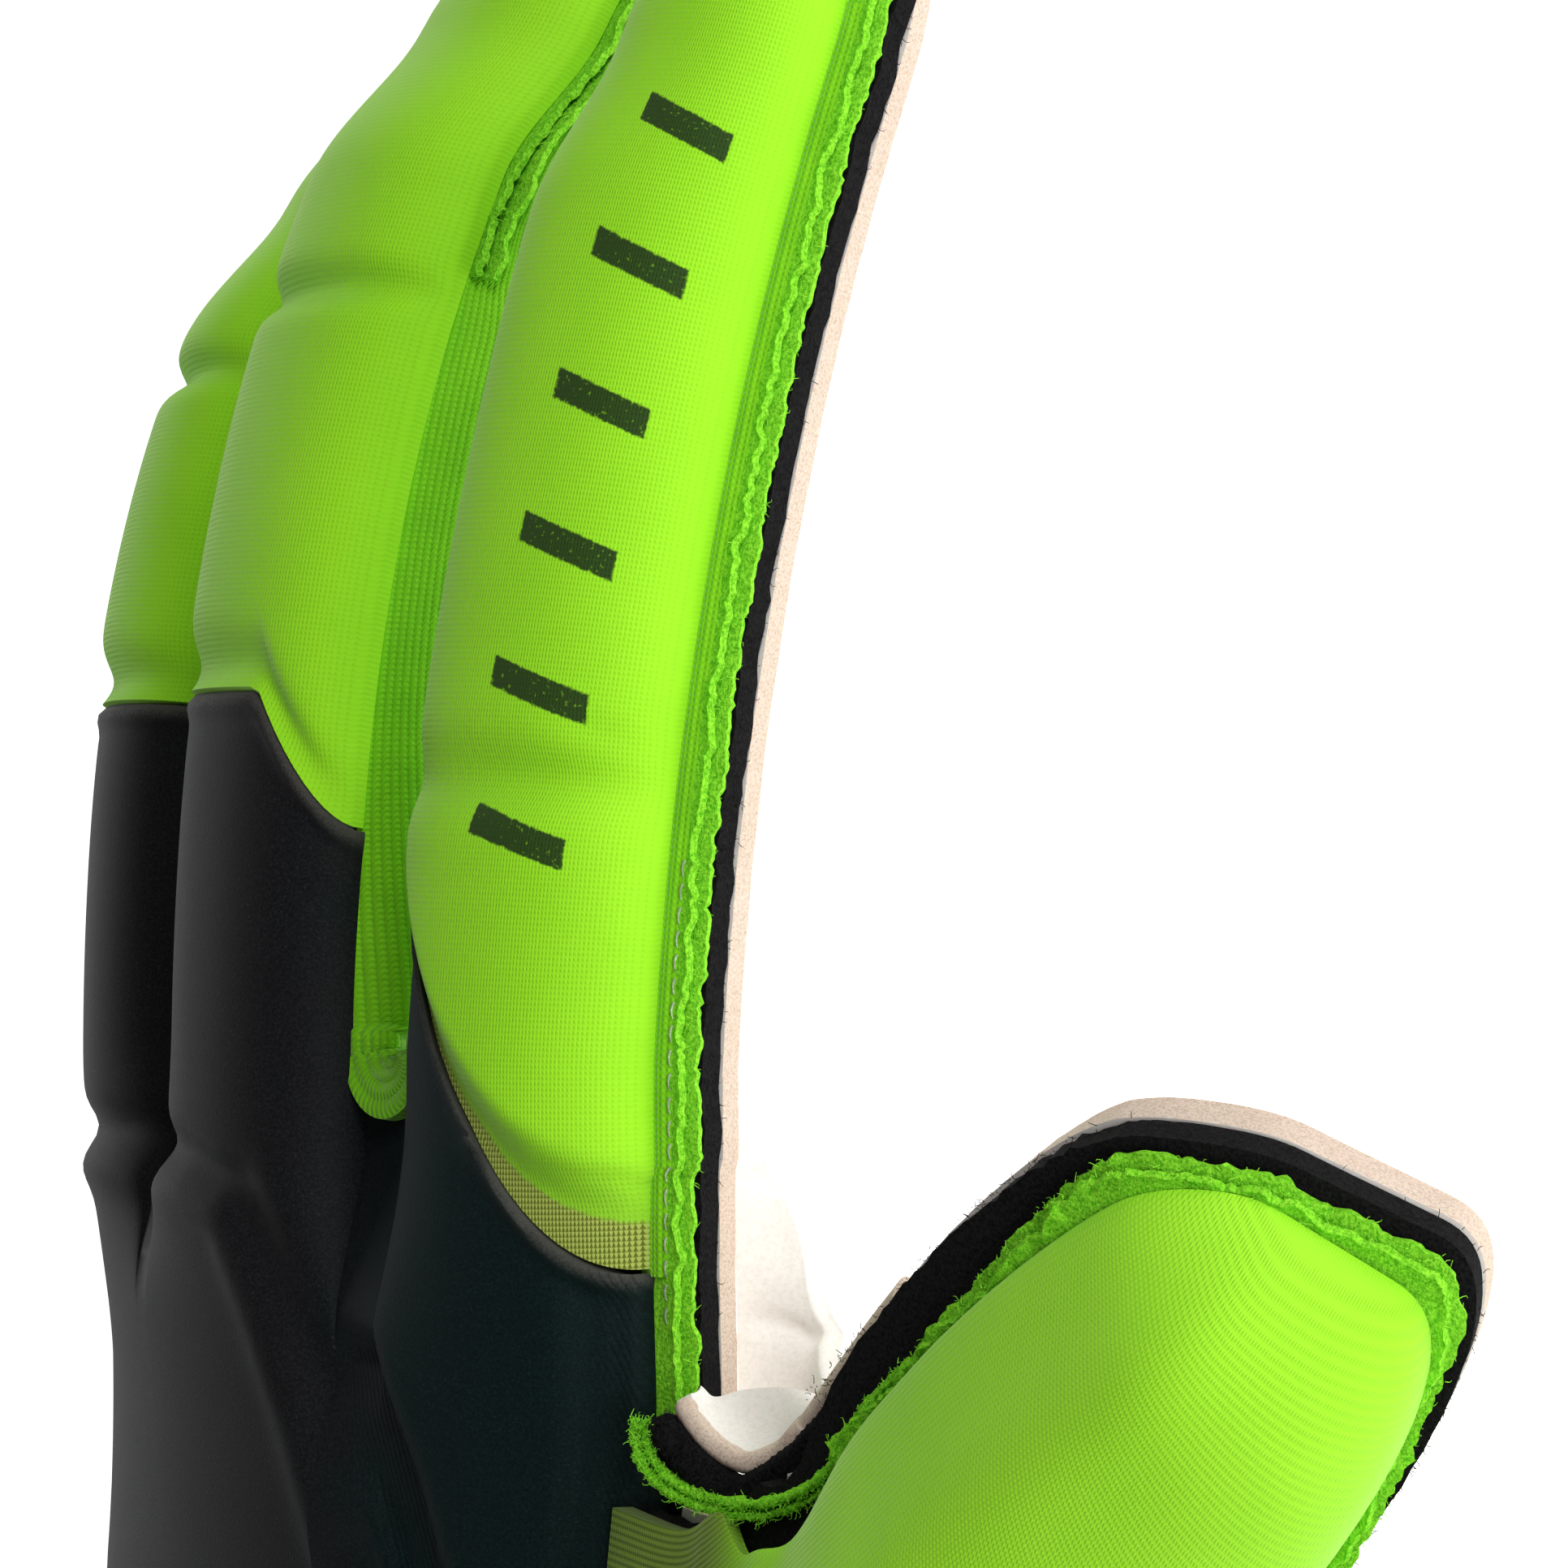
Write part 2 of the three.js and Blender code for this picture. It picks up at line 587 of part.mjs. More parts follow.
// Fold of palm latex between the thumb and the index finger. Each row is a line from the notch
// outwards, the first under the palm's edge and the last under the thumb's.
const webTable = [
  { near: [56.8, 139, 15.8], far: [56.8, 167, 20.8] },
  { near: [58, 138.5, 16], far: [54.5, 159.5, 15.6] },
  { near: [59.5, 138, 16.6], far: [57.5, 151.5, 14.5] },
  { near: [61.5, 137.8, 18.3], far: [67, 143.5, 18.2] },
];
function webFold() {
  const [near, far] = ['near', 'far'].map((key) =>
    new THREE.CatmullRomCurve3(webTable.map((row) => shifted(row[key])), false, 'catmullrom', 0.5));
  const at = (i, j) => near.getPoint(i).lerp(far.getPoint(i), j);
  const place = (c, r, side) => {
    const [i, j] = [c / 8, r / 4];
    const point = at(i, j);
    if (side) return point;
    const run = at(Math.min(i + 0.05, 1), j).sub(at(Math.max(i - 0.05, 0), j));
    const out = at(i, j + 0.1).sub(at(i, j - 0.1));
    return point.addScaledVector(run.cross(out).normalize(), -webThick);
  };
  return shell(8, 4, place);
}

// Point of the elastic tube round the wrist, so far out from its outer face. It is flat below.
function cuffPoint(angle, along, out) {
  const [c, s] = [Math.cos(angle), Math.sin(angle)];
  const x = Math.sign(c) * Math.abs(c) ** 0.8 * (cuffHalf + out);
  const z = cuffRise / 2 + Math.sign(s) * Math.abs(s) ** 0.8 * (cuffRise / 2 + out) - cuffSunk;
  return new THREE.Vector3(x - centreAcross, along - centreAlong, Math.max(z, -out));
}

function wristCuff() {
  const around = 32;
  const stations = stepsBetween(0, heelAlong - gap, 4);
  const rings = [
    ...stations.map((along) => ({ along, out: 0 })),
    ...stations.toReversed().map((along) => ({ along, out: -cuffThick })),
  ];
  const points = rings.flatMap(({ along, out }) =>
    Array.from({ length: around }, (_, i) => (2 * Math.PI * i) / around)
      .flatMap((angle) => cuffPoint(angle, along, out).toArray()));
  const faces = [];
  for (let r = 0; r < rings.length; r++) {
    for (let i = 0; i < around; i++) {
      const j = (i + 1) % around;
      const [a, b] = [r * around, ((r + 1) % rings.length) * around];
      faces.push(a + i, a + j, b + j, a + i, b + j, b + i);
    }
  }
  return closed(points, faces);
}

// Plain band over the back of the wrist and down both its sides
function wristStrap() {
  const place = (c, r, side) => {
    const angle = THREE.MathUtils.lerp(-strapDown, Math.PI + strapDown, c / 24);
    const along = THREE.MathUtils.lerp(strapFrom, strapTo, r / 2);
    return cuffPoint(angle, along, side ? gap + strapThick : gap);
  };
  return shell(24, 2, place);
}

const glove = new THREE.Group();
const looks = {
  latex: { color: 0xe9dccb, roughness: 0.75 },
  backing: { color: 0x111113, roughness: 0.95 },
  green: { color: 0x7fe01c, roughness: 0.7 },
  black: { color: 0x15191b, roughness: 0.8 },
};
function add(name, geometry, look) {
  geometry.computeVertexNormals();
  const mesh = new THREE.Mesh(geometry, new THREE.MeshStandardMaterial({ ...looks[look], metalness: 0 }));
  mesh.name = name;
  glove.add(mesh);
}

add('palm_latex', palmSheet(0, latexThick), 'latex');
add('palm_backing', palmSheet(backingLow, backingTop), 'backing');
add('backhand_panel', cut(backhandPanel(), indexZone(-gap / 2)), 'black');
for (const f of fingers.filter(({ name }) => name !== 'index')) {
  add(`${f.name}_pad`, fingerPad(f), 'green');
}
const indexWhole = toSolid(indexPad());
add('index_pad', fromSolid(indexWhole.intersect(toSolid(indexZone(gap / 2)))), 'green');
for (let i = 0; i < fingers.length - 1; i++) {
  const [left, right] = [fingers[i], fingers[i + 1]];
  add(`gusset_${left.name}_${right.name}`, gusset(left, right), 'green');
}
const roundFrom = (f) => f.tip - tipLength + gap;
for (const f of fingers) {
  const lowFrom = f.low ? heelAlong + 1 : roundFrom(f);
  const highFrom = f.high ? 152 : roundFrom(f);
  add(`seam_${f.name}`, fingerSeam(f, lowFrom, highFrom), 'green');
}
const hand = handZones(gap);
const offHand = (geometry) => cut(geometry, ...hand);
add('thumb_latex', offHand(thumbSheet(0, latexThick)), 'latex');
add('thumb_backing', offHand(thumbSheet(backingLow, backingTop, 0.95)), 'backing');
add('thumb_pad', offHand(thumbPad()), 'green');
add('seam_thumb', offHand(thumbSeam()), 'green');
add('web_latex', webFold(), 'latex');
add('wrist_cuff', wristCuff(), 'black');
add('wrist_strap', wristStrap(), 'black');

export default glove;
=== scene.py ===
import math

import bpy
import numpy as np
from mathutils import Matrix, Vector


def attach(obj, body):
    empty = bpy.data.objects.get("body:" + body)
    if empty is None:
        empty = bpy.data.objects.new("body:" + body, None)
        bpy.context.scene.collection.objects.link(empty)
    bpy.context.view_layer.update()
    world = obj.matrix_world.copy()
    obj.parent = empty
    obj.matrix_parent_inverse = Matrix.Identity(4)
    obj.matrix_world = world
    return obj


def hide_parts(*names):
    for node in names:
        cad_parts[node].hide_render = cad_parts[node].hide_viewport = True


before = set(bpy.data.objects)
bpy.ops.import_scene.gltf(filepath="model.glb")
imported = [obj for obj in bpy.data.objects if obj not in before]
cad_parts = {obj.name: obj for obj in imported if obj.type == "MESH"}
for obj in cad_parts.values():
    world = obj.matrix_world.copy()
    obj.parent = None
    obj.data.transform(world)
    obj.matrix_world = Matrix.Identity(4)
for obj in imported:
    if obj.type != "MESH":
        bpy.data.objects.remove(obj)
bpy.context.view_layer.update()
scene = bpy.context.scene
print("frame loaded")

# Lengths are in mm on the pattern of the glove: across from the little finger to the thumb side,
# along from the cuff's hem to the fingertips, up from the palm's outer face.
mm = 0.001
gap = 0.3
latexThick = 2.6
backingThick = 2.1
backingLow = latexThick + gap
backingTop = backingLow + backingThick
seamLow = backingTop + gap + 0.3
seamTop = seamLow + 1.4
flatBase = seamTop + gap
gussetBase = 10.5
gussetThick = 1.4
gussetLean = 1.4
gussetTuck = gussetThick + gap + 1.3
seamMargin = 2.4
padShell = 2.6
seamBack = 37
fanFrom, fanOver = 172, 80
thumbLong = 120
strapLow, strapHigh = 26, 54
heelAlong = 60
centre = np.array([33.335, 131.816, 0.0])
tipLength = 15
tipPower = 2.4
rootHalf = 58.6

spine = {"along": [0, 62, 80, 128, 270], "pitch": [0, 0, 18, 18, -14]}
arch = {"across": [-62, -30, 0, 30, 62], "heel": [24, 12, 0, -12, -24],
        "knuckles": [-28, -26, -14, 5, 22]}
palm = {"along": [60, 80, 110, 145, 172], "half": [41, 46, 52.5, 57.5, 58.6],
        "rise": [22, 18, 12, 10.5, 11]}
roots = {"across": [-58.6, -30, 0, 30, 58.6], "along": [161, 168, 175, 169.5, 164]}
# low and high are 1 where the side away from the thumb, or to it, is sewn flat
little = {"centre": -45, "half": 13.6, "tip": 238, "rise": 7.5, "low": 1, "high": 0,
          "joint": 209, "fan": -3, "curl": 0, "narrow": 0, "end": 188, "slant": 0}
ring = {"centre": -15, "half": 13.6, "tip": 258, "rise": 8.8, "low": 0, "high": 0,
        "joint": 226, "fan": -1, "curl": 11, "narrow": 0, "end": 198, "slant": 0}
middle = {"centre": 15, "half": 13.6, "tip": 268, "rise": 7.7, "low": 0, "high": 0,
          "joint": 229, "fan": 0.5, "curl": 7, "narrow": 0, "end": 198, "slant": 18}
index = {"centre": 46.2, "half": 12.4, "tip": 262, "rise": 6, "low": 0, "high": 1,
         "joint": -900, "fan": 5, "curl": 0, "narrow": 1.3, "end": 190, "slant": 0}
fingers = [little, ring, middle, index]


def pick(k):
    return {key: np.array([f[key] for f in fingers], float)[k] for key in little}


def smooth(x, low, high):
    t = np.clip((x - low) / (high - low), 0, 1)
    return t * t * (3 - 2 * t)


def mix(a, b, share):
    return a + (b - a) * share


def bump(x, width):
    return np.exp(-((x / width) ** 2))


def traced(table, by, key, start, stop, sign):
    at = np.arange(start, stop) + 0.5
    slope = sign * np.radians(np.interp(at, table[by], table[key]))
    return (np.concatenate([[0], np.cumsum(np.cos(slope))]),
            np.concatenate([[0], np.cumsum(np.sin(slope))]))


reach = 70
spineLine = traced(spine, "along", "pitch", 0, 290, 1)
heelLine = traced(arch, "across", "heel", -reach, reach, -1)
knuckleLine = traced(arch, "across", "knuckles", -reach, reach, -1)


# Pattern to space
def onHand(across, along, up, curl=0.0):
    across, along, up, curl = np.broadcast_arrays(*(np.asarray(a, float) for a in
                                                    (across, along, up, curl)))
    share = smooth(along, 72, 150)
    place = np.arange(2 * reach + 1)

    def blended(i):
        heel = np.interp(across + reach, place, heelLine[i]) - heelLine[i][reach]
        knuckle = np.interp(across + reach, place, knuckleLine[i]) - knuckleLine[i][reach]
        return mix(heel, knuckle, share)

    tilt = np.radians(mix(np.interp(across, arch["across"], arch["heel"]),
                          np.interp(across, arch["across"], arch["knuckles"]), share))
    high = blended(1) + up * np.cos(tilt)
    pitch = np.radians(np.interp(along, spine["along"], spine["pitch"]))
    bent = np.maximum((along - 185) / 75, 0) ** 2.4
    steps = np.arange(len(spineLine[0]))
    x = blended(0) + up * np.sin(tilt)
    y = np.interp(along, steps, spineLine[0]) - high * np.sin(pitch) - 0.3 * curl * bent
    z = np.interp(along, steps, spineLine[1]) + high * np.cos(pitch) - curl * bent
    return np.stack([x, y, z], -1) - centre


def centreOf(f, along):
    return f["centre"] + f["fan"] * np.maximum(along - fanFrom, 0) / fanOver


def superellipse(share, power):
    return (1 - np.minimum(np.abs(share), 1) ** power) ** (1 / power)


def tipAngle(f, along, inset):
    share = (along - (f["tip"] - tipLength)) / (tipLength - inset)
    return np.arcsin(np.clip(share, 0, 1) ** (tipPower / 2))


# From 0, where a finger's rim stands on its gussets, to 1, where it is down on the palm's seam
def rimDown(tip, along):
    return smooth(along, tip - 29, tip - 15)


# From 0, where a pad leans in over its gusset, to 1, where it keeps clear of the seam
def leanEnd(tip, along):
    return smooth(along, tip - 34, tip - 10)


def tipWide(angle):
    return np.cos(0.8 * angle) ** (2 / tipPower)


def tipRise(angle):
    return np.maximum(np.cos(angle), 0) ** (2 / tipPower)


def fingerSide(f, side, along, inset):
    half = f["half"] - f["narrow"] * np.maximum(along - fanFrom, 0) / fanOver - inset
    return centreOf(f, along) + side * half * tipWide(tipAngle(f, along, inset))


def isFlat(f, side):
    return np.where(side < 0, f["low"], f["high"]) > 0


def rootAt(across):
    return np.interp(across, roots["across"], roots["along"])


def palmHalf(along):
    return np.interp(along, palm["along"], palm["half"])


def panelEnd(f, share):
    return f["end"] - f["slant"] * np.maximum(share - 0.45, 0)


def padSide(f, share, along, inset):
    side = np.where(share < 0, -1, 1)
    lean = np.where(isFlat(f, side), seamMargin,
                    mix(gussetLean, seamMargin, leanEnd(f["tip"], along)))
    away = fingerSide(f, side, along, inset + lean) - centreOf(f, along)
    return centreOf(f, along) + np.abs(share) * away


def rimAt(f, share, along):
    high = mix(gussetBase, flatBase, rimDown(f["tip"], along))
    return mix(np.where(f["low"] > 0, flatBase, high), np.where(f["high"] > 0, flatBase, high),
               (share + 1) / 2)


def fingerTop(f, share, along, inset):
    rise = (f["rise"] - inset) * tipRise(tipAngle(f, along, inset + seamMargin))
    rise = rise - 1.7 * bump(along - f["joint"], 1.5)
    rise = rise - 1.6 * bump(along - panelEnd(f, share) - 2, 2.2)
    return rimAt(f, share, along) + rise * superellipse(share, 2.3)


def handTop(across, along, inset):
    half = palmHalf(along) - seamMargin - inset
    rise = np.interp(along, palm["along"], palm["rise"]) - inset
    return flatBase + rise * superellipse(across / half, 2.4)


# The back of the hand and of a finger, as (across, up) on the pattern
def backPattern(f, share, along, inset):
    root = rootAt(f["centre"] + share * f["half"])
    merge = smooth(along, root - 24, root)
    side = np.where(share < 0, -1, 1)
    inward = np.where(isFlat(f, side), inset + seamMargin, (inset + gussetLean) * merge)
    across = (f["centre"] + share * (f["half"] - inward)) / rootHalf * palmHalf(along)
    finger = fingerTop(f, share, along, inset)
    hand = mix(handTop(across, along, inset), finger, merge)
    on = along > root
    return np.where(on, padSide(f, share, along, inset), across), np.where(on, finger, hand)


def fresh():
    if bpy.context.object and bpy.context.object.mode != "OBJECT":
        bpy.ops.object.mode_set(mode="OBJECT")
    bpy.ops.object.select_all(action="DESELECT")


def only(obj):
    fresh()
    obj.select_set(True)
    bpy.context.view_layer.objects.active = obj


def points(obj):
    flat = np.empty(len(obj.data.vertices) * 3)
    obj.data.vertices.foreach_get("co", flat)
    return flat.reshape(-1, 3)


def setPoints(obj, place):
    obj.data.vertices.foreach_set("co", np.ascontiguousarray(place, float).ravel())
    obj.data.update()


# A coordinate for each point, kept as a UV map
def addMap(obj, name, u, v):
    corner = np.empty(len(obj.data.loops), int)
    obj.data.loops.foreach_get("vertex_index", corner)
    layer = obj.data.uv_layers.get(name) or obj.data.uv_layers.new(name=name)
    both = np.stack([np.broadcast_to(u, len(obj.data.vertices)),
                     np.broadcast_to(v, len(obj.data.vertices))], -1)
    layer.data.foreach_set("uv", both[corner].astype(np.float32).ravel())


# Grid of cells from a primitive. us and vs are its stations, and each point gets its pair of them.
def grid(name, us, vs):
    fresh()
    columns, rows = len(us) - 1, len(vs) - 1
    bpy.ops.mesh.primitive_grid_add(x_subdivisions=columns, y_subdivisions=rows, size=2)
    obj = bpy.context.object
    obj.name = obj.data.name = name
    flat = points(obj)
    i = np.rint((flat[:, 0] + 1) / 2 * columns).astype(int)
    j = np.rint((flat[:, 1] + 1) / 2 * rows).astype(int)
    obj.data.uv_layers.remove(obj.data.uv_layers[0])
    return obj, np.asarray(us, float)[i], np.asarray(vs, float)[j]


# Puts a piece's points in place, with its pattern and its materials
def dress(obj, place, u, v, *materials):
    setPoints(obj, place * mm)
    addMap(obj, "pattern", u, v)
    for material in materials:
        obj.data.materials.append(material)


def apply(obj, kind, **settings):
    only(obj)
    modifier = obj.modifiers.new(kind.lower(), kind)
    for key, value in settings.items():
        setattr(modifier, key, value)
    bpy.ops.object.modifier_apply(modifier=modifier.name)


def outward(obj):
    only(obj)
    bpy.ops.object.mode_set(mode="EDIT")
    bpy.ops.mesh.select_all(action="SELECT")
    bpy.ops.mesh.remove_doubles(threshold=1e-6)
    bpy.ops.mesh.normals_make_consistent(inside=False)
    bpy.ops.object.mode_set(mode="OBJECT")


def faceCentres(obj, u, v):
    faces = np.empty(len(obj.data.polygons) * 4, int)
    obj.data.polygons.foreach_get("vertices", faces)
    faces = faces.reshape(-1, 4)
    return u[faces].mean(1), v[faces].mean(1)


def dropFaces(obj, doomed):
    only(obj)
    bpy.ops.object.mode_set(mode="EDIT")
    bpy.ops.mesh.select_mode(type="FACE")
    bpy.ops.mesh.select_all(action="DESELECT")
    bpy.ops.object.mode_set(mode="OBJECT")
    obj.data.polygons.foreach_set("select", doomed)
    bpy.ops.object.mode_set(mode="EDIT")
    bpy.ops.mesh.delete(type="FACE")
    bpy.ops.object.mode_set(mode="OBJECT")


# Gives a sheet its thickness, its rim in the material that stands that far on in its list
def thicken(obj, depth, offset=-1.0, rim=0):
    apply(obj, "SOLIDIFY", thickness=depth * mm, offset=offset, use_even_offset=False,
          material_offset_rim=rim)
    outward(obj)


def finish(obj, stands, angle=50):
    only(obj)
    bpy.ops.object.shade_smooth_by_angle(angle=math.radians(angle))
    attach(obj, "root")
    if stands:
        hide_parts(*stands)
    print("made", obj.name, len(obj.data.polygons))
    return obj


# Smooth noise along a line, from -1 to 1
def wobble(x, size, seed):
    table = np.random.default_rng(seed).uniform(-1, 1, 4096)
    at = np.asarray(x, float) / size + 2000
    low = np.floor(at).astype(int)
    t = at - low
    return mix(table[low % 4096], table[(low + 1) % 4096], t * t * (3 - 2 * t))


def ruffle(x, seed):
    return (0.5 * wobble(x, 2.6, seed) + 0.5 * wobble(x, 1.1, seed + 1)
            + 0.4 * wobble(x, 0.45, seed + 2))


def unit(v):
    return v / np.maximum(np.linalg.norm(v, axis=-1, keepdims=True), 1e-9)


# A line along an edge of a sheet: points on its outer face, with the directions out and up there
def framed(edge, up, step=0.4):
    run = np.concatenate([[0], np.cumsum(np.linalg.norm(np.diff(edge, axis=0), axis=1))])
    at = np.arange(0, run[-1], step)
    edge, up = (np.stack([np.interp(at, run, a[:, i]) for i in range(3)], -1) for a in (edge, up))
    out = unit(np.cross(unit(up), unit(np.gradient(edge, axis=0))))
    padded = np.concatenate([np.repeat(out[:1], 5, 0), out, np.repeat(out[-1:], 5, 0)])
    out = np.stack([np.convolve(padded[:, i], np.ones(11) / 11, "valid") for i in range(3)], -1)
    return {"edge": edge, "up": unit(up), "out": unit(out), "run": at}


def partOf(line, low, high):
    keep = (line["run"] >= low) & (line["run"] <= high)
    return {key: value[keep] for key, value in line.items()}


def sampled(line, run, *keys):
    return [np.stack([np.interp(run, line["run"], line[key][:, i]) for i in range(3)], -1)
            for key in keys]


def onEdge(line, run, d, up):
    e, o, u = sampled(line, run, "edge", "out", "up")
    return e + o * np.asarray(d)[..., None] + u * np.asarray(up)[..., None]


# Outline of a finger's sheet, up its low side, round the tip and down the high side. Below the
# root it goes on along the side of the hand.
def fingerLine(f, lowFrom, highFrom):
    straight = f["tip"] - tipLength
    turns = np.sin(np.linspace(0, math.pi / 2, 30)) ** (2 / tipPower)

    def half(side, start):
        along = np.concatenate([np.arange(start, straight, 0.5), straight + turns * tipLength])
        root = rootAt(f["centre"] + side * f["half"])
        hand = side * palmHalf(along)
        lift = (gussetBase - flatBase) * (1 - rimDown(f["tip"], along))
        lift = lift * (0 if f["low" if side < 0 else "high"] else 1)
        return np.where(along > root, fingerSide(f, side, along, 0), hand), along, lift

    (a, alongA, liftA), (b, alongB, liftB) = half(-1, lowFrom), half(1, highFrom)
    across = np.concatenate([a, np.linspace(a[-1], b[-1], 14)[1:-1], b[::-1]])
    along = np.concatenate([alongA, np.full(12, f["tip"]), alongB[::-1]])
    lift = np.concatenate([liftA, np.zeros(12), liftB[::-1]])
    low, high = (onHand(across, along, lift + h, f["curl"]) for h in (0, 5))
    return framed(low, high - low)


# The thumb is ruled between two smooth curves, its edge to the index finger and its outer edge
thumb = {"web": [(44, 140, 22), (57, 137.5, 22.5), (65.6, 138.3, 21.8), (77.8, 148.4, 23.5),
                 (90.4, 158.9, 24.6), (101.4, 166.2, 24), (111.4, 170.6, 21.5)],
         "outer": [(28, 67, 9), (44, 69, 11.5), (54, 77, 10), (66, 90, 7), (82, 110, 2.8),
                   (102, 133, 0.8), (127, 162, 0.8)]}
thumbTip = 0.12
thumbRise = 13


def curve(rows, t):
    rows = np.array(rows, float) - centre
    rows = np.concatenate([[2 * rows[0] - rows[1]], rows, [2 * rows[-1] - rows[-2]]])
    at = np.clip(t, 0, 1) * (len(rows) - 3)
    i = np.minimum(np.floor(at).astype(int), len(rows) - 4)
    w = (at - i)[..., None]
    a, b, c, d = (rows[i + k] for k in range(4))
    p, q = (c - a) / 2, (d - b) / 2
    return b + p * w + (3 * (c - b) - 2 * p - q) * w ** 2 + (2 * (b - c) + p + q) * w ** 3


def thumbNormal(stage):
    span = curve(thumb["web"], stage) - curve(thumb["outer"], stage)
    run = sum(unit(curve(thumb[k], np.minimum(stage + 1e-3, 1))
                   - curve(thumb[k], np.maximum(stage - 1e-3, 0))) for k in thumb)
    normal = unit(-np.cross(span, run))
    return np.where(normal[..., 2:] < 0, -normal, normal)


def onThumb(share, stage, up):
    share, stage, up = np.broadcast_arrays(*(np.asarray(a, float) for a in (share, stage, up)))
    outer, web = curve(thumb["outer"], stage), curve(thumb["web"], stage)
    return mix(outer, web, ((share + 1) / 2)[..., None]) + thumbNormal(stage) * up[..., None]


def thumbAngle(stage, inset):
    share = np.clip((stage - 1 + thumbTip) / (thumbTip - inset), 0, 1)
    return np.arcsin(share ** (tipPower / 2))


def thumbLine():
    turns = np.sin(np.linspace(0, math.pi / 2, 40)) ** (2 / tipPower)
    stage = np.concatenate([np.linspace(0.12, 1 - thumbTip, 300), 1 - thumbTip + turns * thumbTip])
    wide = tipWide(thumbAngle(stage, 0))
    share = np.concatenate([wide, np.linspace(wide[-1], -wide[-1], 30)[1:-1], -wide[::-1]])
    stage = np.concatenate([stage, np.ones(28), stage[::-1]])
    low = onThumb(share, stage, 0)
    return framed(low, onThumb(share, stage, 5) - low)


lines = {"little": fingerLine(little, 62, little["tip"] - seamBack),
         "ring": fingerLine(ring, ring["tip"] - seamBack, ring["tip"] - seamBack),
         "middle": fingerLine(middle, middle["tip"] - seamBack, middle["tip"] - seamBack),
         "index": fingerLine(index, index["tip"] - seamBack, 145.5),
         "thumb": thumbLine()}


# A socket that takes part in sums
class Value:
    def __init__(self, shade, socket):
        self.shade = shade
        self.socket = socket

    def __add__(self, other):
        return self.shade.math("ADD", self, other)

    def __radd__(self, other):
        return self.shade.math("ADD", other, self)

    def __sub__(self, other):
        return self.shade.math("SUBTRACT", self, other)

    def __rsub__(self, other):
        return self.shade.math("SUBTRACT", other, self)

    def __mul__(self, other):
        return self.shade.math("MULTIPLY", self, other)

    def __rmul__(self, other):
        return self.shade.math("MULTIPLY", other, self)

    def __truediv__(self, other):
        return self.shade.math("DIVIDE", self, other)

    def __rtruediv__(self, other):
        return self.shade.math("DIVIDE", other, self)

    def __abs__(self):
        return self.shade.math("ABSOLUTE", self)


# A material under construction, with one method that adds any node
class Shade:
    def __init__(self, name, **constants):
        self.material = bpy.data.materials.new(name)
        self.material.use_nodes = True
        self.tree = self.material.node_tree
        self.shader = self.tree.nodes["Principled BSDF"]
        for key, value in constants.items():
            self.shader.inputs[key.replace("_", " ")].default_value = value

    def feed(self, socket, value):
        if isinstance(value, Value):
            self.tree.links.new(value.socket, socket)
        else:
            socket.default_value = value

    def node(self, kind, out=0, inputs=None, **settings):
        node = self.tree.nodes.new(kind)
        for key, value in settings.items():
            setattr(node, key, value)
        for key, value in (inputs or {}).items():
            self.feed(node.inputs[key], value)
        return Value(self, node.outputs[out])

    def math(self, how, *values):
        return self.node("ShaderNodeMath", inputs=dict(enumerate(values)), operation=how)

    def sine(self, value, length):
        return self.math("SINE", value * (2 * math.pi / length))

    def step(self, value, low, high):
        return self.node("ShaderNodeMapRange", inputs={0: value, 1: low, 2: high},
                         interpolation_type="SMOOTHSTEP")

    def blend(self, share, a, b):
        return self.node("ShaderNodeMix", out=2, inputs={0: share, 6: a, 7: b}, data_type="RGBA")

    # Place on the object in mm
    def space(self):
        where = self.node("ShaderNodeTexCoord", out=3)
        return self.node("ShaderNodeVectorMath", inputs={0: where, 3: 1000.0}, operation="SCALE")

    def cloud(self, size, detail=2.0, rough=0.5, stretch=None):
        at = self.space()
        if stretch:
            at = self.node("ShaderNodeVectorMath", inputs={0: at, 1: stretch}, operation="MULTIPLY")
        return self.node("ShaderNodeTexNoise", inputs={"Vector": at, "Scale": 1 / size,
                                                       "Detail": detail, "Roughness": rough})

    def map(self, name):
        where = self.node("ShaderNodeUVMap", uv_map=name)
        first = self.node("ShaderNodeSeparateXYZ", inputs={0: where})
        return first, Value(self, first.socket.node.outputs[1])

    def look(self, tone, rough, height, depth):
        self.feed(self.shader.inputs["Base Color"], tone)
        self.feed(self.shader.inputs["Roughness"], rough)
        self.feed(self.shader.inputs["Normal"], self.node(
            "ShaderNodeBump", inputs={"Height": height, "Distance": depth * mm, "Strength": 1.0}))
        return self.material


def tint(r, g, b):
    return (r, g, b, 1.0)


# Relief of knitted loops: ribs along t, each crossed by slanting stitches
def loops(shade, s, t, wale, course):
    rib = abs(shade.sine(s, wale * 2))
    return rib * 0.75 + shade.sine(t + rib * (course * 0.45), course) * 0.25


def knitted(name, wale, course, lit, deep, depth, marks=None, cloudy=12.0):
    shade = Shade(name, Specular_IOR_Level=0.2, Sheen_Weight=0.4, Sheen_Roughness=0.35,
                  Sheen_Tint=tint(0.85, 1.0, 0.65))
    s, t = shade.map("pattern")
    relief = loops(shade, s, t, wale, course)
    fine = shade.cloud(0.35, 2)
    # share paints shade into the knit's valleys with the deep colour, and mixes in tone that varies
    # at random in clouds
    share = shade.step(relief + fine * 0.5, 0.0, 0.8) * 0.35 + shade.cloud(cloudy, 3) * 0.65
    tone = shade.blend(share, tint(*deep), tint(*lit))
    if marks:
        tone = marks(shade, s, t, tone, relief, fine)
    rough = 0.62 + fine * 0.25
    return shade.look(tone, rough, relief + fine * 0.5, depth)


# The pads' knit colours: lit, and deep, a darker green that paints shade in the knit's valleys and
# also comes in random clouds
lit, deep = (0.36, 0.83, 0.018), (0.24, 0.66, 0.008)


barPitch = 10.4


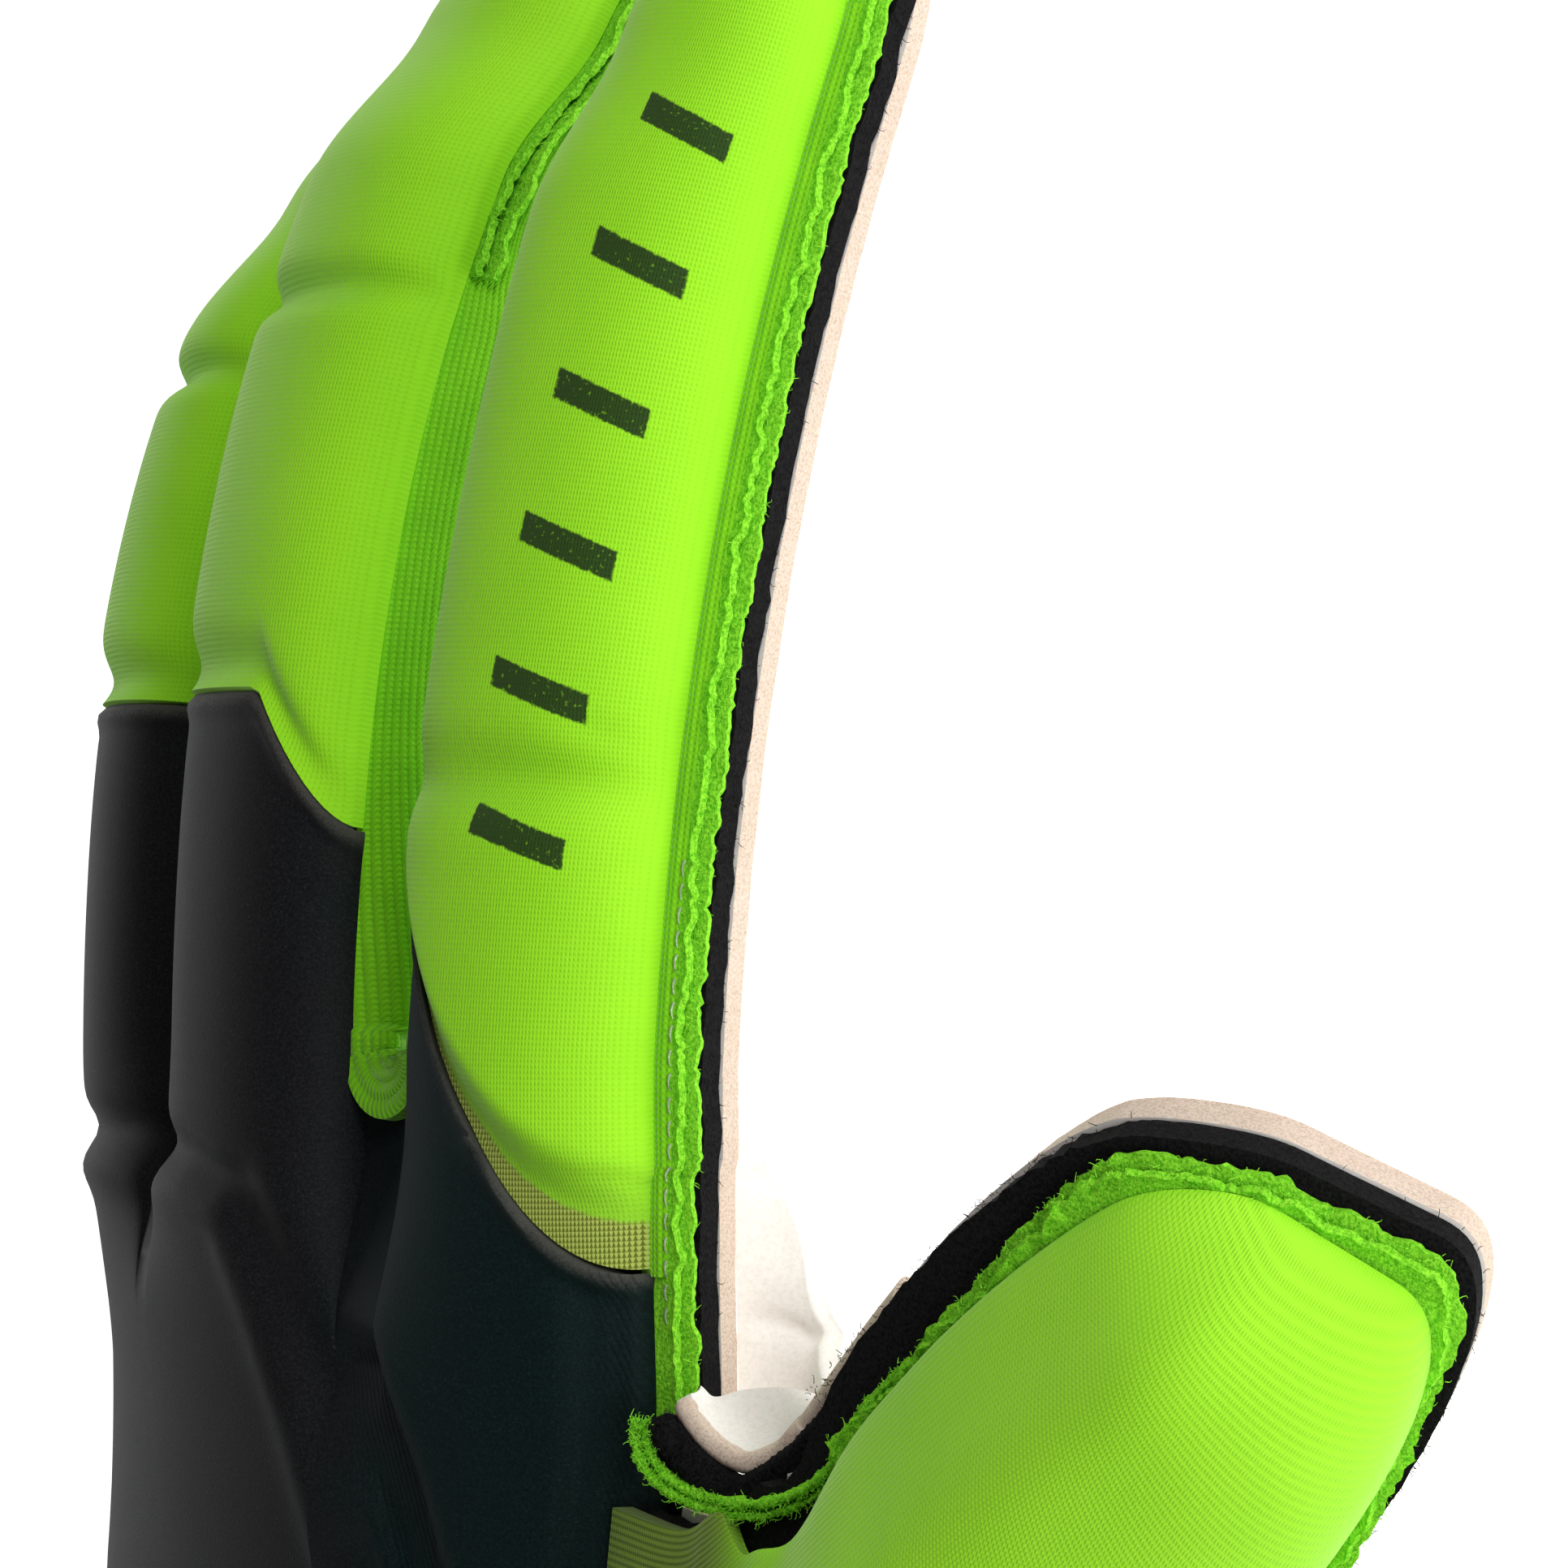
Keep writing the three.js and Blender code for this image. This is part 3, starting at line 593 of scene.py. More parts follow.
# Slanting bars printed down the index finger, and the two-tone knit that shows below its pad
def printed(shade, s, t, tone, relief, fine):
    slant = t + s * 0.22
    phase = shade.math("FRACT", (slant - 183.6) / barPitch)
    bar = shade.step(abs(phase - 0.5) + (fine - 0.5) * 0.03, 0.115, 0.095)
    side = shade.step(abs(s - (t - 187) * 0.05 - 3.6) + (fine - 0.5) * 0.4, 5.7, 5.4)
    ends = shade.step(slant, 184, 184.1) * shade.step(slant, 246, 245.9)
    ink = bar * side * ends * (0.95 + shade.step(fine, 0.62, 0.72) * -0.3)
    tone = shade.blend(ink, tone, tint(0.006, 0.020, 0.005))
    away = shade.map("edge")[0]
    bare = shade.step(away + (fine - 0.5) * 0.5, 0.35, -0.25)
    band = shade.blend(shade.step(relief, 0.25, 0.7), tint(0.13, 0.15, 0.012),
                       tint(0.40, 0.50, 0.10))
    fade = shade.step(away + shade.cloud(3, 2) * 4, 9.0, 1.0)
    tone = shade.blend(fade * 0.45, tone, tint(0.20, 0.42, 0.03))
    return shade.blend(bare, tone, band)


# The thumb's knit turns olive where it is stretched round the notch
def faded(shade, s, t, tone, relief, fine):
    share = shade.step(t, 54, 40) * shade.step(s, 3, 15)
    olive = shade.blend(shade.step(relief, 0.25, 0.7), tint(0.07, 0.09, 0.010),
                        tint(0.22, 0.30, 0.04))
    return shade.blend(share * 0.9, tone, olive)


def fuzzy(name, lit, deep, size=0.28):
    shade = Shade(name, Specular_IOR_Level=0.1, Sheen_Weight=0.08, Sheen_Roughness=0.6,
                  Sheen_Tint=tint(*lit))
    lumps = shade.cloud(size, 4, 0.65)
    strands = shade.cloud(0.16, 3, 0.6, (1.0, 0.35, 1.0))
    # The fuzz is darker where its lumps and strands are low: painted shade in the gaps between
    # them, mixed with tone that varies at random
    share = shade.step(lumps * 0.6 + strands * 0.4, 0.36, 0.62)
    tone = shade.blend(share, tint(*deep), tint(*lit))
    return shade.look(tone, 0.85 + lumps * 0.12, lumps + strands * 0.6, 0.22)


padKnit = knitted("pad_knit", 0.36, 0.40, lit, deep, 0.035)
indexKnit = knitted("index_knit", 0.36, 0.40, lit, deep, 0.035, printed)
thumbKnit = knitted("thumb_knit", 0.38, 0.42, (0.40, 0.88, 0.03), (0.26, 0.70, 0.010), 0.04,
                    faded)
gussetKnit = knitted("gusset_knit", 0.52, 0.46, (0.26, 0.74, 0.010), (0.12, 0.48, 0.004), 0.14,
                     cloudy=5.0)
# The margin strip's knit is darker than the pads: painted shade of the groove it lies in beside the
# pad
marginKnit = knitted("margin_knit", 0.34, 0.5, (0.26, 0.72, 0.010), (0.10, 0.40, 0.003), 0.12,
                     cloudy=4.0)
rawEdge = fuzzy("raw_edge", (0.36, 0.90, 0.045), (0.10, 0.50, 0.008))
looseGreen = fuzzy("loose_green", (0.38, 0.92, 0.06), (0.20, 0.70, 0.02), 0.8)
fleece = fuzzy("fleece", (0.014, 0.013, 0.014), (0.002, 0.002, 0.003), 0.3)
looseBlack = fuzzy("loose_black", (0.022, 0.021, 0.022), (0.006, 0.006, 0.007), 0.8)


def latex(name, lit, deep, pore, depth):
    shade = Shade(name, Specular_IOR_Level=0.3, Subsurface_Weight=0.08, Subsurface_Scale=0.002)
    pores = shade.cloud(pore, 4, 0.7)
    stains = shade.cloud(7.0, 3)
    share = shade.step(pores, 0.30, 0.6) * 0.7 + stains * 0.3
    tone = shade.blend(share, tint(*deep), tint(*lit))
    return shade.look(tone, 0.72 + pores * 0.2, pores, depth)


latexFace = latex("latex_face", (0.90, 0.87, 0.83), (0.80, 0.76, 0.70), 0.4, 0.04)
# The cut edges are a darker, browner cream than the face: painted shade on the sheets' cut sides
latexCut = latex("latex_cut", (0.82, 0.68, 0.57), (0.50, 0.36, 0.26), 0.22, 0.12)


# Pressed fabric over foam: worn grey on its rims, with a green cast to the thumb, and painted shade
# between its ribs
def pressed():
    shade = Shade("pressed_back", Specular_IOR_Level=0.12, Sheen_Weight=0.03, Sheen_Roughness=0.45,
                  Sheen_Tint=tint(0.5, 0.55, 0.6))
    across, along = shade.map("pattern")
    rim, groove = shade.map("edge")
    fine = shade.cloud(0.22, 3, 0.7)
    blotch = shade.cloud(6.0, 3)
    grain = shade.step(fine, 0.35, 0.68)
    grey = shade.blend(grain, tint(0.004, 0.004, 0.005), tint(0.014, 0.014, 0.016))
    teal = shade.blend(grain, tint(0.001, 0.007, 0.007), tint(0.004, 0.017, 0.016))
    tone = shade.blend(shade.step(across + (blotch - 0.5) * 12, 24, 38), grey, teal)
    worn = shade.step(rim + (fine - 0.5) * 2.4 + (blotch - 0.5) * 1.0, 1.5, -0.2)
    specks = shade.step(fine, 0.63, 0.72) * shade.step(blotch, 0.4, 0.7)
    tone = shade.blend(worn * 0.75, tone, tint(0.085, 0.080, 0.070))
    tone = shade.blend(specks * 0.22, tone, tint(0.12, 0.13, 0.12))
    # Painted shade: the valleys between the ribs go near black where the groove map is up, by the
    # rib lines and along the hand's sides
    ribs = abs(shade.sine(across + along * 0.30, 0.9))
    tone = shade.blend(groove * shade.step(ribs, 0.7, 0.2) * 0.6, tone, tint(0.002, 0.004, 0.004))
    return shade.look(tone, 0.5 + fine * 0.3, fine * 0.5 + groove * ribs * 0.5, 0.10)


moulded = pressed()


# Ribbed elastic: cords across the wrist with raised ribs along it
def ribbed(name, pitch, depth, lit, deep):
    shade = Shade(name, Specular_IOR_Level=0.25, Sheen_Weight=0.1, Sheen_Roughness=0.5)
    around, along = shade.map("pattern")
    rib = abs(shade.sine(around, pitch * 2))
    weave = shade.sine(around, 0.55) * shade.sine(along, 0.45)
    fine = shade.cloud(0.3, 3)
    worn = shade.step(shade.cloud(9, 3), 0.45, 0.75)
    share = rib * 0.45 + weave * 0.15 + fine * 0.3 + worn * 0.25
    return shade.look(shade.blend(share, tint(*deep), tint(*lit)), 0.7 + fine * 0.2,
                      rib + weave * 0.3 + fine * 0.2, depth)


elastic = ribbed("elastic", 1.6, 0.35, (0.045, 0.047, 0.052), (0.006, 0.006, 0.008))
webbing = ribbed("webbing", 0.8, 0.15, (0.030, 0.033, 0.036), (0.006, 0.007, 0.009))


def thread(name, tone):
    shade = Shade(name, Specular_IOR_Level=0.35)
    twist = abs(shade.sine(shade.cloud(0.5, 1) * 3, 0.4))
    dark = tint(*[c * 0.6 for c in tone])
    return shade.look(shade.blend(twist, dark, tint(*tone)), 0.6, twist, 0.05)


threadWhite = thread("thread_white", (0.72, 0.80, 0.60))
threadBlack = thread("thread_black", (0.03, 0.03, 0.035))
print("materials made")


# Stations across a pad, close together at its sides, and along its round tip
shares = np.sin(np.linspace(-math.pi / 2, math.pi / 2, 33))
roundSteps = np.sin(np.linspace(0, math.pi / 2, 17)[1:]) ** (2 / tipPower)


# Small threads: tubes of three sides along paths of points (count, steps, 3)
def tubes(name, paths, radius, material):
    count, steps, _ = paths.shape
    along = unit(np.gradient(paths, axis=1))
    side = unit(np.cross(along, unit(np.array([0.31, 0.52, 0.79]))))
    other = np.cross(along, side)
    taper = np.linspace(1, 0.55, steps)[None, :, None]
    rings = []
    for k in range(3):
        angle = 2 * math.pi * k / 3
        ring = side * math.cos(angle) + other * math.sin(angle)
        rings.append(paths + ring * radius * taper)
    place = np.stack(rings, 2)
    number = np.arange(count * steps * 3).reshape(count, steps, 3)
    a, b = number[:, :-1], number[:, 1:]
    nextA, nextB = np.roll(a, -1, 2), np.roll(b, -1, 2)
    quads = np.stack([a, nextA, nextB, b], -1).reshape(-1, 4)
    ends = np.concatenate([number[:, 0, ::-1], number[:, -1]])
    mesh = bpy.data.meshes.new(name)
    mesh.from_pydata((place.reshape(-1, 3) * mm).tolist(), [], quads.tolist() + ends.tolist())
    obj = bpy.data.objects.new(name, mesh)
    bpy.context.collection.objects.link(obj)
    obj.data.materials.append(material)
    outward(obj)
    finish(obj, None, 80)


fibreRadius = 0.037
fibreCurl = 0.5


# Loose fibres that stand out of an edge, with roots in the ranges d out of it and up
def fibres(name, line, count, d, up, long, seed, material):
    rng = np.random.default_rng(seed)
    run = rng.uniform(line["run"][0], line["run"][-1], count)
    at = rng.uniform(0, 1, count)
    start = onEdge(line, run, mix(*d, at), mix(*up, rng.uniform(0, 1, count)))
    o, u = sampled(line, run, "out", "up")
    t = np.cross(o, u)
    aim = unit(o * rng.uniform(0.3, 1, (count, 1)) + u * rng.uniform(-0.7, 0.9, (count, 1))
               + t * rng.uniform(-1, 1, (count, 1)))
    turn = unit(rng.normal(size=(count, 3)))
    size = (long * rng.uniform(0.3, 1, count) ** 1.6)[:, None, None]
    steps = np.linspace(0, 1, 4)[None, :, None]
    paths = start[:, None] + aim[:, None] * size * (steps - 0.25 * fibreCurl * steps ** 2)
    paths = paths + turn[:, None] * size * fibreCurl * np.sin(steps * math.pi * 0.8)
    tubes(name, paths, fibreRadius, material)


# Stitches along a line, each a short raised thread
def stitches(name, line, d, up, pitch, material, radius, low=0, high=1e9):
    run = np.arange(max(low, line["run"][0]) + pitch, min(high, line["run"][-1]) - pitch, pitch)
    steps = np.linspace(-0.5, 0.5, 6)[None, :]
    place = run[:, None] + steps * pitch * 0.7
    lift = up + 0.22 * np.cos(steps * math.pi) + place * 0
    tubes(name, onEdge(line, place, place * 0 + d, lift), radius, material)


# A strip along an edge, through stations (out, up, how far it frays), and then made thick
def edgeStrip(name, line, profile, thick, fray, wave, seed, material, stands):
    place = np.array(profile, float)
    count = 4 * (len(place) - 1) + 1
    at = np.linspace(0, len(place) - 1, count)
    obj, u, run = grid(name, at, line["run"])
    d, up, loose = (np.interp(u, np.arange(len(place)), place[:, i]) for i in range(3))
    d = d + fray * loose * ruffle(run, seed)
    up = up + wave * loose * ruffle(run + 500, seed + 7)
    dress(obj, onEdge(line, run, d, up), d, run, material)
    thicken(obj, thick, 0)
    finish(obj, stands)


# The two raw edges of a seam, one on the other
def seam(name, line, stands, seed):
    edgeStrip(name + "_low", line, [(-3.6, 6.05, 0), (-1.6, 6.05, 0.2), (-0.4, 6.0, 0.7),
                                    (0.25, 5.85, 1)], 0.6, 0.45, 0.28, seed, rawEdge, stands)
    edgeStrip(name + "_high", line, [(-3.6, 6.85, 0), (-1.9, 6.85, 0.2), (-0.9, 6.95, 0.8),
                                     (-0.35, 7.15, 1)], 0.6, 0.45, 0.3, seed + 20, rawEdge, stands)
    fibres(name + "_fuzz", line, int(line["run"][-1] - line["run"][0]) * 9, (-1.5, 0.4),
           (5.7, 7.5), 0.85, seed + 40, looseGreen)


# Place on a grid that spans the four fingers, with a strip between two of them that is cut away
def acrossFingers(u, per):
    k = np.minimum(u // (per + 1), 3).astype(int)
    return k, np.sin(mix(-math.pi / 2, math.pi / 2, (u - k * (per + 1)) / per))


def cutBetween(obj, u, row, per, handRows):
    column, cut = faceCentres(obj, u, row)
    dropFaces(obj, (column % (per + 1) > per) & (cut > handRows - 1))


# Stations of the palm's sheet: 0 to 1 from heel to root, 1 to 2 from root to fingertip
palmRows = 80
palmStages = np.concatenate([np.linspace(0, 1, palmRows), 1 + np.linspace(0, 0.84, 80)[1:],
                             2 - 0.16 * (1 - np.sin(np.linspace(0, math.pi / 2, 20)[1:]))])


# The palm's sheet with its four fingers
def palmSheet(name, top, thick, fray, seed, materials, stands):
    print(name)
    per = 12
    obj, u, row = grid(name, np.arange(4 * per + 4), np.arange(len(palmStages)))
    stage = palmStages[row.astype(int)]
    k, share = acrossFingers(u, per)
    f = pick(k)
    side = np.where(share < 0, -1, 1)
    flat = isFlat(f, side)
    tuck = np.where(flat, 0, gussetTuck)
    edge = (np.abs(share) > 0.999) & (flat | (stage > 1))
    rough = np.where(edge, fray * ruffle(stage * 95 + 40 * k, seed), 0)
    rootAcross = f["centre"] + share * (f["half"] - tuck)
    root = rootAt(f["centre"] + share * f["half"])
    low = mix(heelAlong, root, np.minimum(stage, 1))
    onPalm = rootAcross / rootHalf * palmHalf(low) + side * rough
    high = mix(root, f["tip"] + fray * ruffle(share * 12, seed + 3), np.maximum(stage - 1, 0))
    tuck = tuck * (1 - smooth(high, f["tip"] - 36, f["tip"] - 24))
    onFinger = centreOf(f, high) + np.abs(share) * (fingerSide(f, side, high, tuck)
                                                    - centreOf(f, high)) + side * rough
    across, along = np.where(stage > 1, onFinger, onPalm), np.where(stage > 1, high, low)
    dress(obj, onHand(across, along, top, f["curl"]), across, along, *materials)
    cutBetween(obj, u, row, per, palmRows)
    thicken(obj, thick, rim=len(materials) - 1)
    return finish(obj, stands)


for name, top, thick, fray, seed, looks, stands in (
        ("palm_foam", latexThick, 1.9, 0.05, 11, [latexFace, latexCut], ["palm_latex"]),
        ("palm_fleece", backingTop, backingThick, 0.28, 21, [fleece, fleece], ["palm_backing"])):
    palmSheet(name, top, thick, fray, seed, looks, stands)


seamClear = 0.6


# Solids that fill the hand, to cut the thumb with
def handCutter(name, top, low):
    stations = np.concatenate([[-0.08], np.linspace(0, 1, 30)[1:]])
    obj, u, v = grid(name, np.linspace(-1, 1, 60), stations)
    across = u * rootHalf
    k = np.clip(((across + 60) // 30).astype(int), 0, 3)
    f = pick(k)
    share = np.clip((across - f["centre"]) / f["half"], -1, 1)
    along = mix(heelAlong, rootAt(across), v)
    if top:
        place, up = backPattern(f, share, along, -gap)
        up = np.where(np.abs(u) > 0.999, flatBase, up)
    else:
        place, up = across / rootHalf * (palmHalf(along) + 2.4 * gap), flatBase + seamClear
    setPoints(obj, onHand(place, along, up) * mm)
    thicken(obj, low)
    return obj


cutters = [handCutter("cutter_low", False, flatBase + seamClear + gap),
           handCutter("cutter_high", True, 9)]


# Cuts a piece of the thumb off along the hand and keeps its largest part
def offHand(obj):
    for cutter in cutters:
        apply(obj, "BOOLEAN", operation="DIFFERENCE", object=cutter, solver="EXACT",
              use_self=False)
    only(obj)
    bpy.ops.object.mode_set(mode="EDIT")
    bpy.ops.mesh.select_all(action="SELECT")
    bpy.ops.mesh.separate(type="LOOSE")
    bpy.ops.object.mode_set(mode="OBJECT")
    parts = sorted(bpy.context.selected_objects, key=lambda o: len(o.data.vertices))
    name = obj.name
    for part in parts[:-1]:
        bpy.data.objects.remove(part)
    parts[-1].name = name
    return parts[-1]


# Near the notch the sheets turn under the curled edge
def tuckedWeb(stage):
    return 0.04 * (1 - smooth(stage, 0.36, 0.56)) + 0.12 * bump(stage - 0.46, 0.05)


def thumbSheet(name, top, thick, fray, seed, webShare, materials, stands):
    print(name)
    sides = np.sin(np.linspace(math.pi / 2, -math.pi / 2, 15))
    tip = 1 - thumbTip + thumbTip * np.sin(np.linspace(0, math.pi / 2, 26)[1:])
    stations = np.concatenate([np.linspace(0.05, 1 - thumbTip, 90), tip])
    obj, share, stage = grid(name, sides, stations)
    wide = tipWide(thumbAngle(stage, 0))
    rough = np.where(np.abs(share) > 0.999, fray / 20 * ruffle(stage * thumbLong, seed), 0)
    held = np.where(share > 0, webShare - tuckedWeb(stage), 1)
    place = (share + np.sign(share) * rough) * wide * held
    dress(obj, onThumb(place, stage, top), share * 22, stage * thumbLong, *materials)
    thicken(obj, thick, rim=len(materials) - 1)
    return finish(offHand(obj), stands)


for name, top, thick, fray, seed, web, looks, stands in (
        ("thumb_foam", latexThick, latexThick, 0.05, 31, 1, [latexFace, latexCut], ["thumb_latex"]),
        ("thumb_fleece", backingTop, backingThick, 0.28, 41, 0.985, [fleece, fleece],
         ["thumb_backing"])):
    thumbSheet(name, top, thick, fray, seed, web, looks, stands)


# The thumb's padded back, held in and low at the notch and domed toward its tip
def thumbBack():
    print("thumb_back")
    stations = np.concatenate([np.linspace(0.05, 1 - thumbTip, 100), 1 + roundSteps])
    obj, u, v = grid("thumb_back", shares[::-1], stations)
    endInset = 2.2 / thumbLong
    stage = np.where(v < 1, v, 1 - thumbTip + (v - 1) * (thumbTip - endInset))
    angle = thumbAngle(stage, endInset)
    webInset = mix(0.05, 0.24, smooth(stage, 0.35, 0.42)) + 0.11 * bump(stage - 0.49, 0.05)
    base = flatBase - 0.6 * smooth(u, 0.1, 0.7) * (1 - smooth(stage, 0.36, 0.46))
    share = u * (1 - np.where(u > 0, webInset, 0.08)) * tipWide(angle)
    high = thumbRise * (1 - (1 - smooth(stage, 0.12, 0.5)) * smooth(u, -0.3, 0.9))
    power = mix(2.3, 1.35, smooth(u, 0, 0.8))
    high = high * (1 - 0.8 * (1 - smooth(stage, 0.34, 0.62)) * smooth(u, 0, 0.8))
    rise = high * tipRise(angle) * superellipse(u, power)
    dress(obj, onThumb(share, stage, base + rise), share * 24, stage * thumbLong, thumbKnit)
    thicken(obj, 1.6)
    obj = offHand(obj)
    finish(obj, ["thumb_pad"])


thumbBack()


def pad(obj, stands):
    thicken(obj, padShell)
    finish(obj, stands)


# How far along a finger a pad's rows lie: v is 0 to 1 up to the tip's start, and 1 to 2 round it
def padRows(f, start, v):
    straight = f["tip"] - tipLength
    return np.where(v <= 1, mix(start, straight, v),
                    straight + (v - 1) * (tipLength - seamMargin))


def fingerPad(name, f, stands):
    print(name)
    rows = np.concatenate([np.linspace(0, 1, 110), 1 + roundSteps])
    obj, share, v = grid(name, shares, rows)
    along = padRows(f, panelEnd(f, share) + gap, v)
    up = fingerTop(f, share, along, 0)
    across = padSide(f, share, along, 0)
    dress(obj, onHand(across, along, up, f["curl"]), share * f["half"] * 1.25, along, padKnit)
    pad(obj, stands)


for name, f in (("little", little), ("ring", ring), ("middle", middle)):
    fingerPad(name + "_back", f, [name + "_pad"])


# Where the index finger's long pad begins, aslant over the root
def border(share):
    return 157 + 30 * np.maximum((1 - share) / 2, 0) ** 1.8


def indexBack():
    print("index_back")
    rows = np.concatenate([np.linspace(0, 1, 170), 1 + roundSteps])
    obj, share, v = grid("index_back", shares, rows)
    f = pick(np.full(len(share), 3))
    start = border(share) + gap / 2
    along = padRows(f, start, v)
    across, up = backPattern(f, share, along, 0)
    rise = 1.5 * superellipse(share, 2.3) * tipRise(tipAngle(f, along, seamMargin))
    band = mix(0.3, 3.4, smooth(share, -0.7, 0.9))
    past = along - start
    dip = 2.2 * (1 - smooth(past, band - 0.2, band + 5)) * superellipse(share, 4)
    crease = 0.35 * bump(along - 196 + 2 * (share - 0.5), 1.2) * bump(share - 0.75, 0.25)
    dress(obj, onHand(across, along, up + rise - dip - crease), share * 15.5, along, indexKnit)
    addMap(obj, "edge", past - band, share)
    pad(obj, ["index_pad"])


indexBack()


def distanceTo(line, across, along):
    best = np.full(across.shape, 1e9)
    for (a, b), (c, d) in zip(line[:-1], line[1:]):
        t = np.clip(((across - a) * (c - a) + (along - b) * (d - b))
                    / ((c - a) ** 2 + (d - b) ** 2), 0, 1)
        best = np.minimum(best, np.hypot(across - mix(a, c, t), along - mix(b, d, t)))
    return best


# Lines pressed into the back of the hand, as (across, along)
pressLines = {
    "step": [(-46, 158), (-30, 163.5), (-6, 164.5), (12.6, 164), (20, 162.5), (25, 154),
             (28.5, 146), (32.5, 135.5), (35, 120), (36, 96), (34, 78)],
    "ribs": [(31.5, 150), (35.5, 141), (39.5, 128), (41, 112), (40.5, 92), (38, 78)],
    "crotch": [(29, 164), (28.6, 156), (29, 149)],
    "side": [(53.4, 158), (52.6, 146), (50, 130), (46, 110), (41, 88), (36, 72)]}
# The raised field ends here to the thumb, and at this place to the fingers
field = {"along": [78, 120, 135.5, 146, 154, 165], "across": [34, 35, 32.5, 28.5, 25, 20]}
fieldEnd = 164.4


def handBack():
    print("hand_back")
    per, handRows = 30, 150
    stages = np.concatenate([np.linspace(0, 1, handRows), np.linspace(1, 2, 46)[1:]])
    obj, u, row = grid("hand_back", np.arange(4 * per + 4), np.arange(len(stages)))
    stage = stages[row.astype(int)]
    k, share = acrossFingers(u, per)
    f = pick(k)
    root = rootAt(f["centre"] + share * f["half"])
    end = np.where(k == 3, border(share) - gap / 2, panelEnd(f, share))
    split = np.minimum(root, end)
    along = np.where(stage <= 1, mix(heelAlong, split, np.minimum(stage, 1)),
                     mix(split, end, np.maximum(stage - 1, 0)))
    across, up = backPattern(f, share, along, 0)
    side = superellipse(across / (palmHalf(along) - seamMargin), 6)
    near = {key: distanceTo(line, across, along) for key, line in pressLines.items()}
    inside = (across < np.interp(along, field["along"], field["across"])) & (along < fieldEnd)
    lift = np.where(inside, 0.7 * bump(near["step"] - 3.4, 1.9), 0) - 0.9
    lift = lift - 1.7 * (1 - smooth(along, 108, 128))
    press = 1.1 * bump(near["step"], 1.7) + 1.5 * bump(near["crotch"], 2.6)
    press = press + 1.7 * (1 - smooth(near["ribs"], 1.6, 3.6))
    press = press + 0.8 * (1 - smooth(near["side"], 1.2, 2.0))
    rim = np.abs(end - along)
    up = up + side * (lift - press) * smooth(rim, 0, 2.5) - 0.5 * bump(rim, 0.5)
    dress(obj, onHand(across, along, up, f["curl"]), across, along, moulded)
    # groove marks where the pressed shader paints shade between the ribs: by the rib lines and
    # along the hand's sides
    groove = np.maximum(1 - smooth(near["ribs"], 1.6, 3.2),
                        0.6 * smooth(across / palmHalf(along), 0.90, 0.94))
    addMap(obj, "edge", np.where(k == 0, 9, rim), groove)
    cutBetween(obj, u, row, per, handRows)
    pad(obj, ["backhand_panel"])


handBack()


# Knit wall from a finger's tip down its side, round the crotch and up the next finger. An owner of
# 0 or 1 is a finger's straight side and 0.5 is the turn between them.
def gusset(name, left, right, stands):
    inset = gussetThick / 2 + 0.1
    rows, turnRows = 170, 24
    root = rootAt(left["centre"] + left["half"] + 1.4) + 2.4
    come = np.linspace(left["tip"] - tipLength, root, rows)
    go = np.linspace(root, right["tip"] - tipLength, rows)
    a = fingerSide(left, 1, come, inset)
    b = fingerSide(right, -1, go, inset)
    middleAcross, apart = (a[-1] + b[0]) / 2, (b[0] - a[-1]) / 2
    turn = np.linspace(0, math.pi, turnRows + 2)[1:-1]
    across = np.concatenate([a, middleAcross - apart * np.cos(turn), b])
    along = np.concatenate([come, root - apart * np.sin(turn), go])
    owner = np.concatenate([np.zeros(rows), np.full(turnRows, 0.5), np.ones(rows)])
    tip = np.where(owner < 0.5, left["tip"], right["tip"])
    curl = np.where(owner < 0.5, left["curl"], right["curl"]) * np.where(owner == 0.5, 0, 1)
    down = np.where(owner == 0.5, 0, rimDown(tip, along))
    ends = np.where(owner == 0.5, 0, smooth(along, tip - 42, tip - 32))
    high = mix(gussetBase, flatBase, down) - 0.12 - 1.3 * smooth(ends, 0.4, 1)
    foot = np.where((owner == 0.5) | (along < root + 1.5), seamLow, mix(gap, seamLow - 0.4, ends))
    lean = gussetLean * (1 - np.where(owner == 0.5, 0, leanEnd(tip, along)))
    run = unit(np.stack([np.gradient(across), np.gradient(along)], -1))
    length = np.concatenate([[0], np.cumsum(np.hypot(np.diff(across), np.diff(along)))])
    obj, u, v = grid(name, np.linspace(0, 1, 19), np.arange(len(across)))
    i = v.astype(int)
    near = 1 - smooth(along[i], root, root + 34)
    fold = 0.5 + (apart - 0.9) * near + 0.15 * wobble(length[i], 7, 91)
    fold = np.where(owner[i] == 0.5, apart + 0.7, fold)
    offset = -lean[i] * u + fold * np.sin(u ** mix(0.8, 1.9, near) * math.pi)
    place = onHand(across[i] - run[i, 1] * offset, along[i] + run[i, 0] * offset,
                   mix(foot[i], high[i], u), curl[i])
    dress(obj, place, u * 9 + length[i] * 0.04, length[i] - u * 9, gussetKnit)
    thicken(obj, 1.1, 0)
    finish(obj, stands)


for left, right, pair in ((little, ring, "little_ring"), (ring, middle, "ring_middle"),
                          (middle, index, "middle_index")):
    gusset("knit_" + pair, left, right, ["gusset_" + pair])

for number, (name, line) in enumerate(lines.items()):
    if name != "thumb":
        seam("edge_" + name, line, ["seam_" + name], 100 * number + 100)


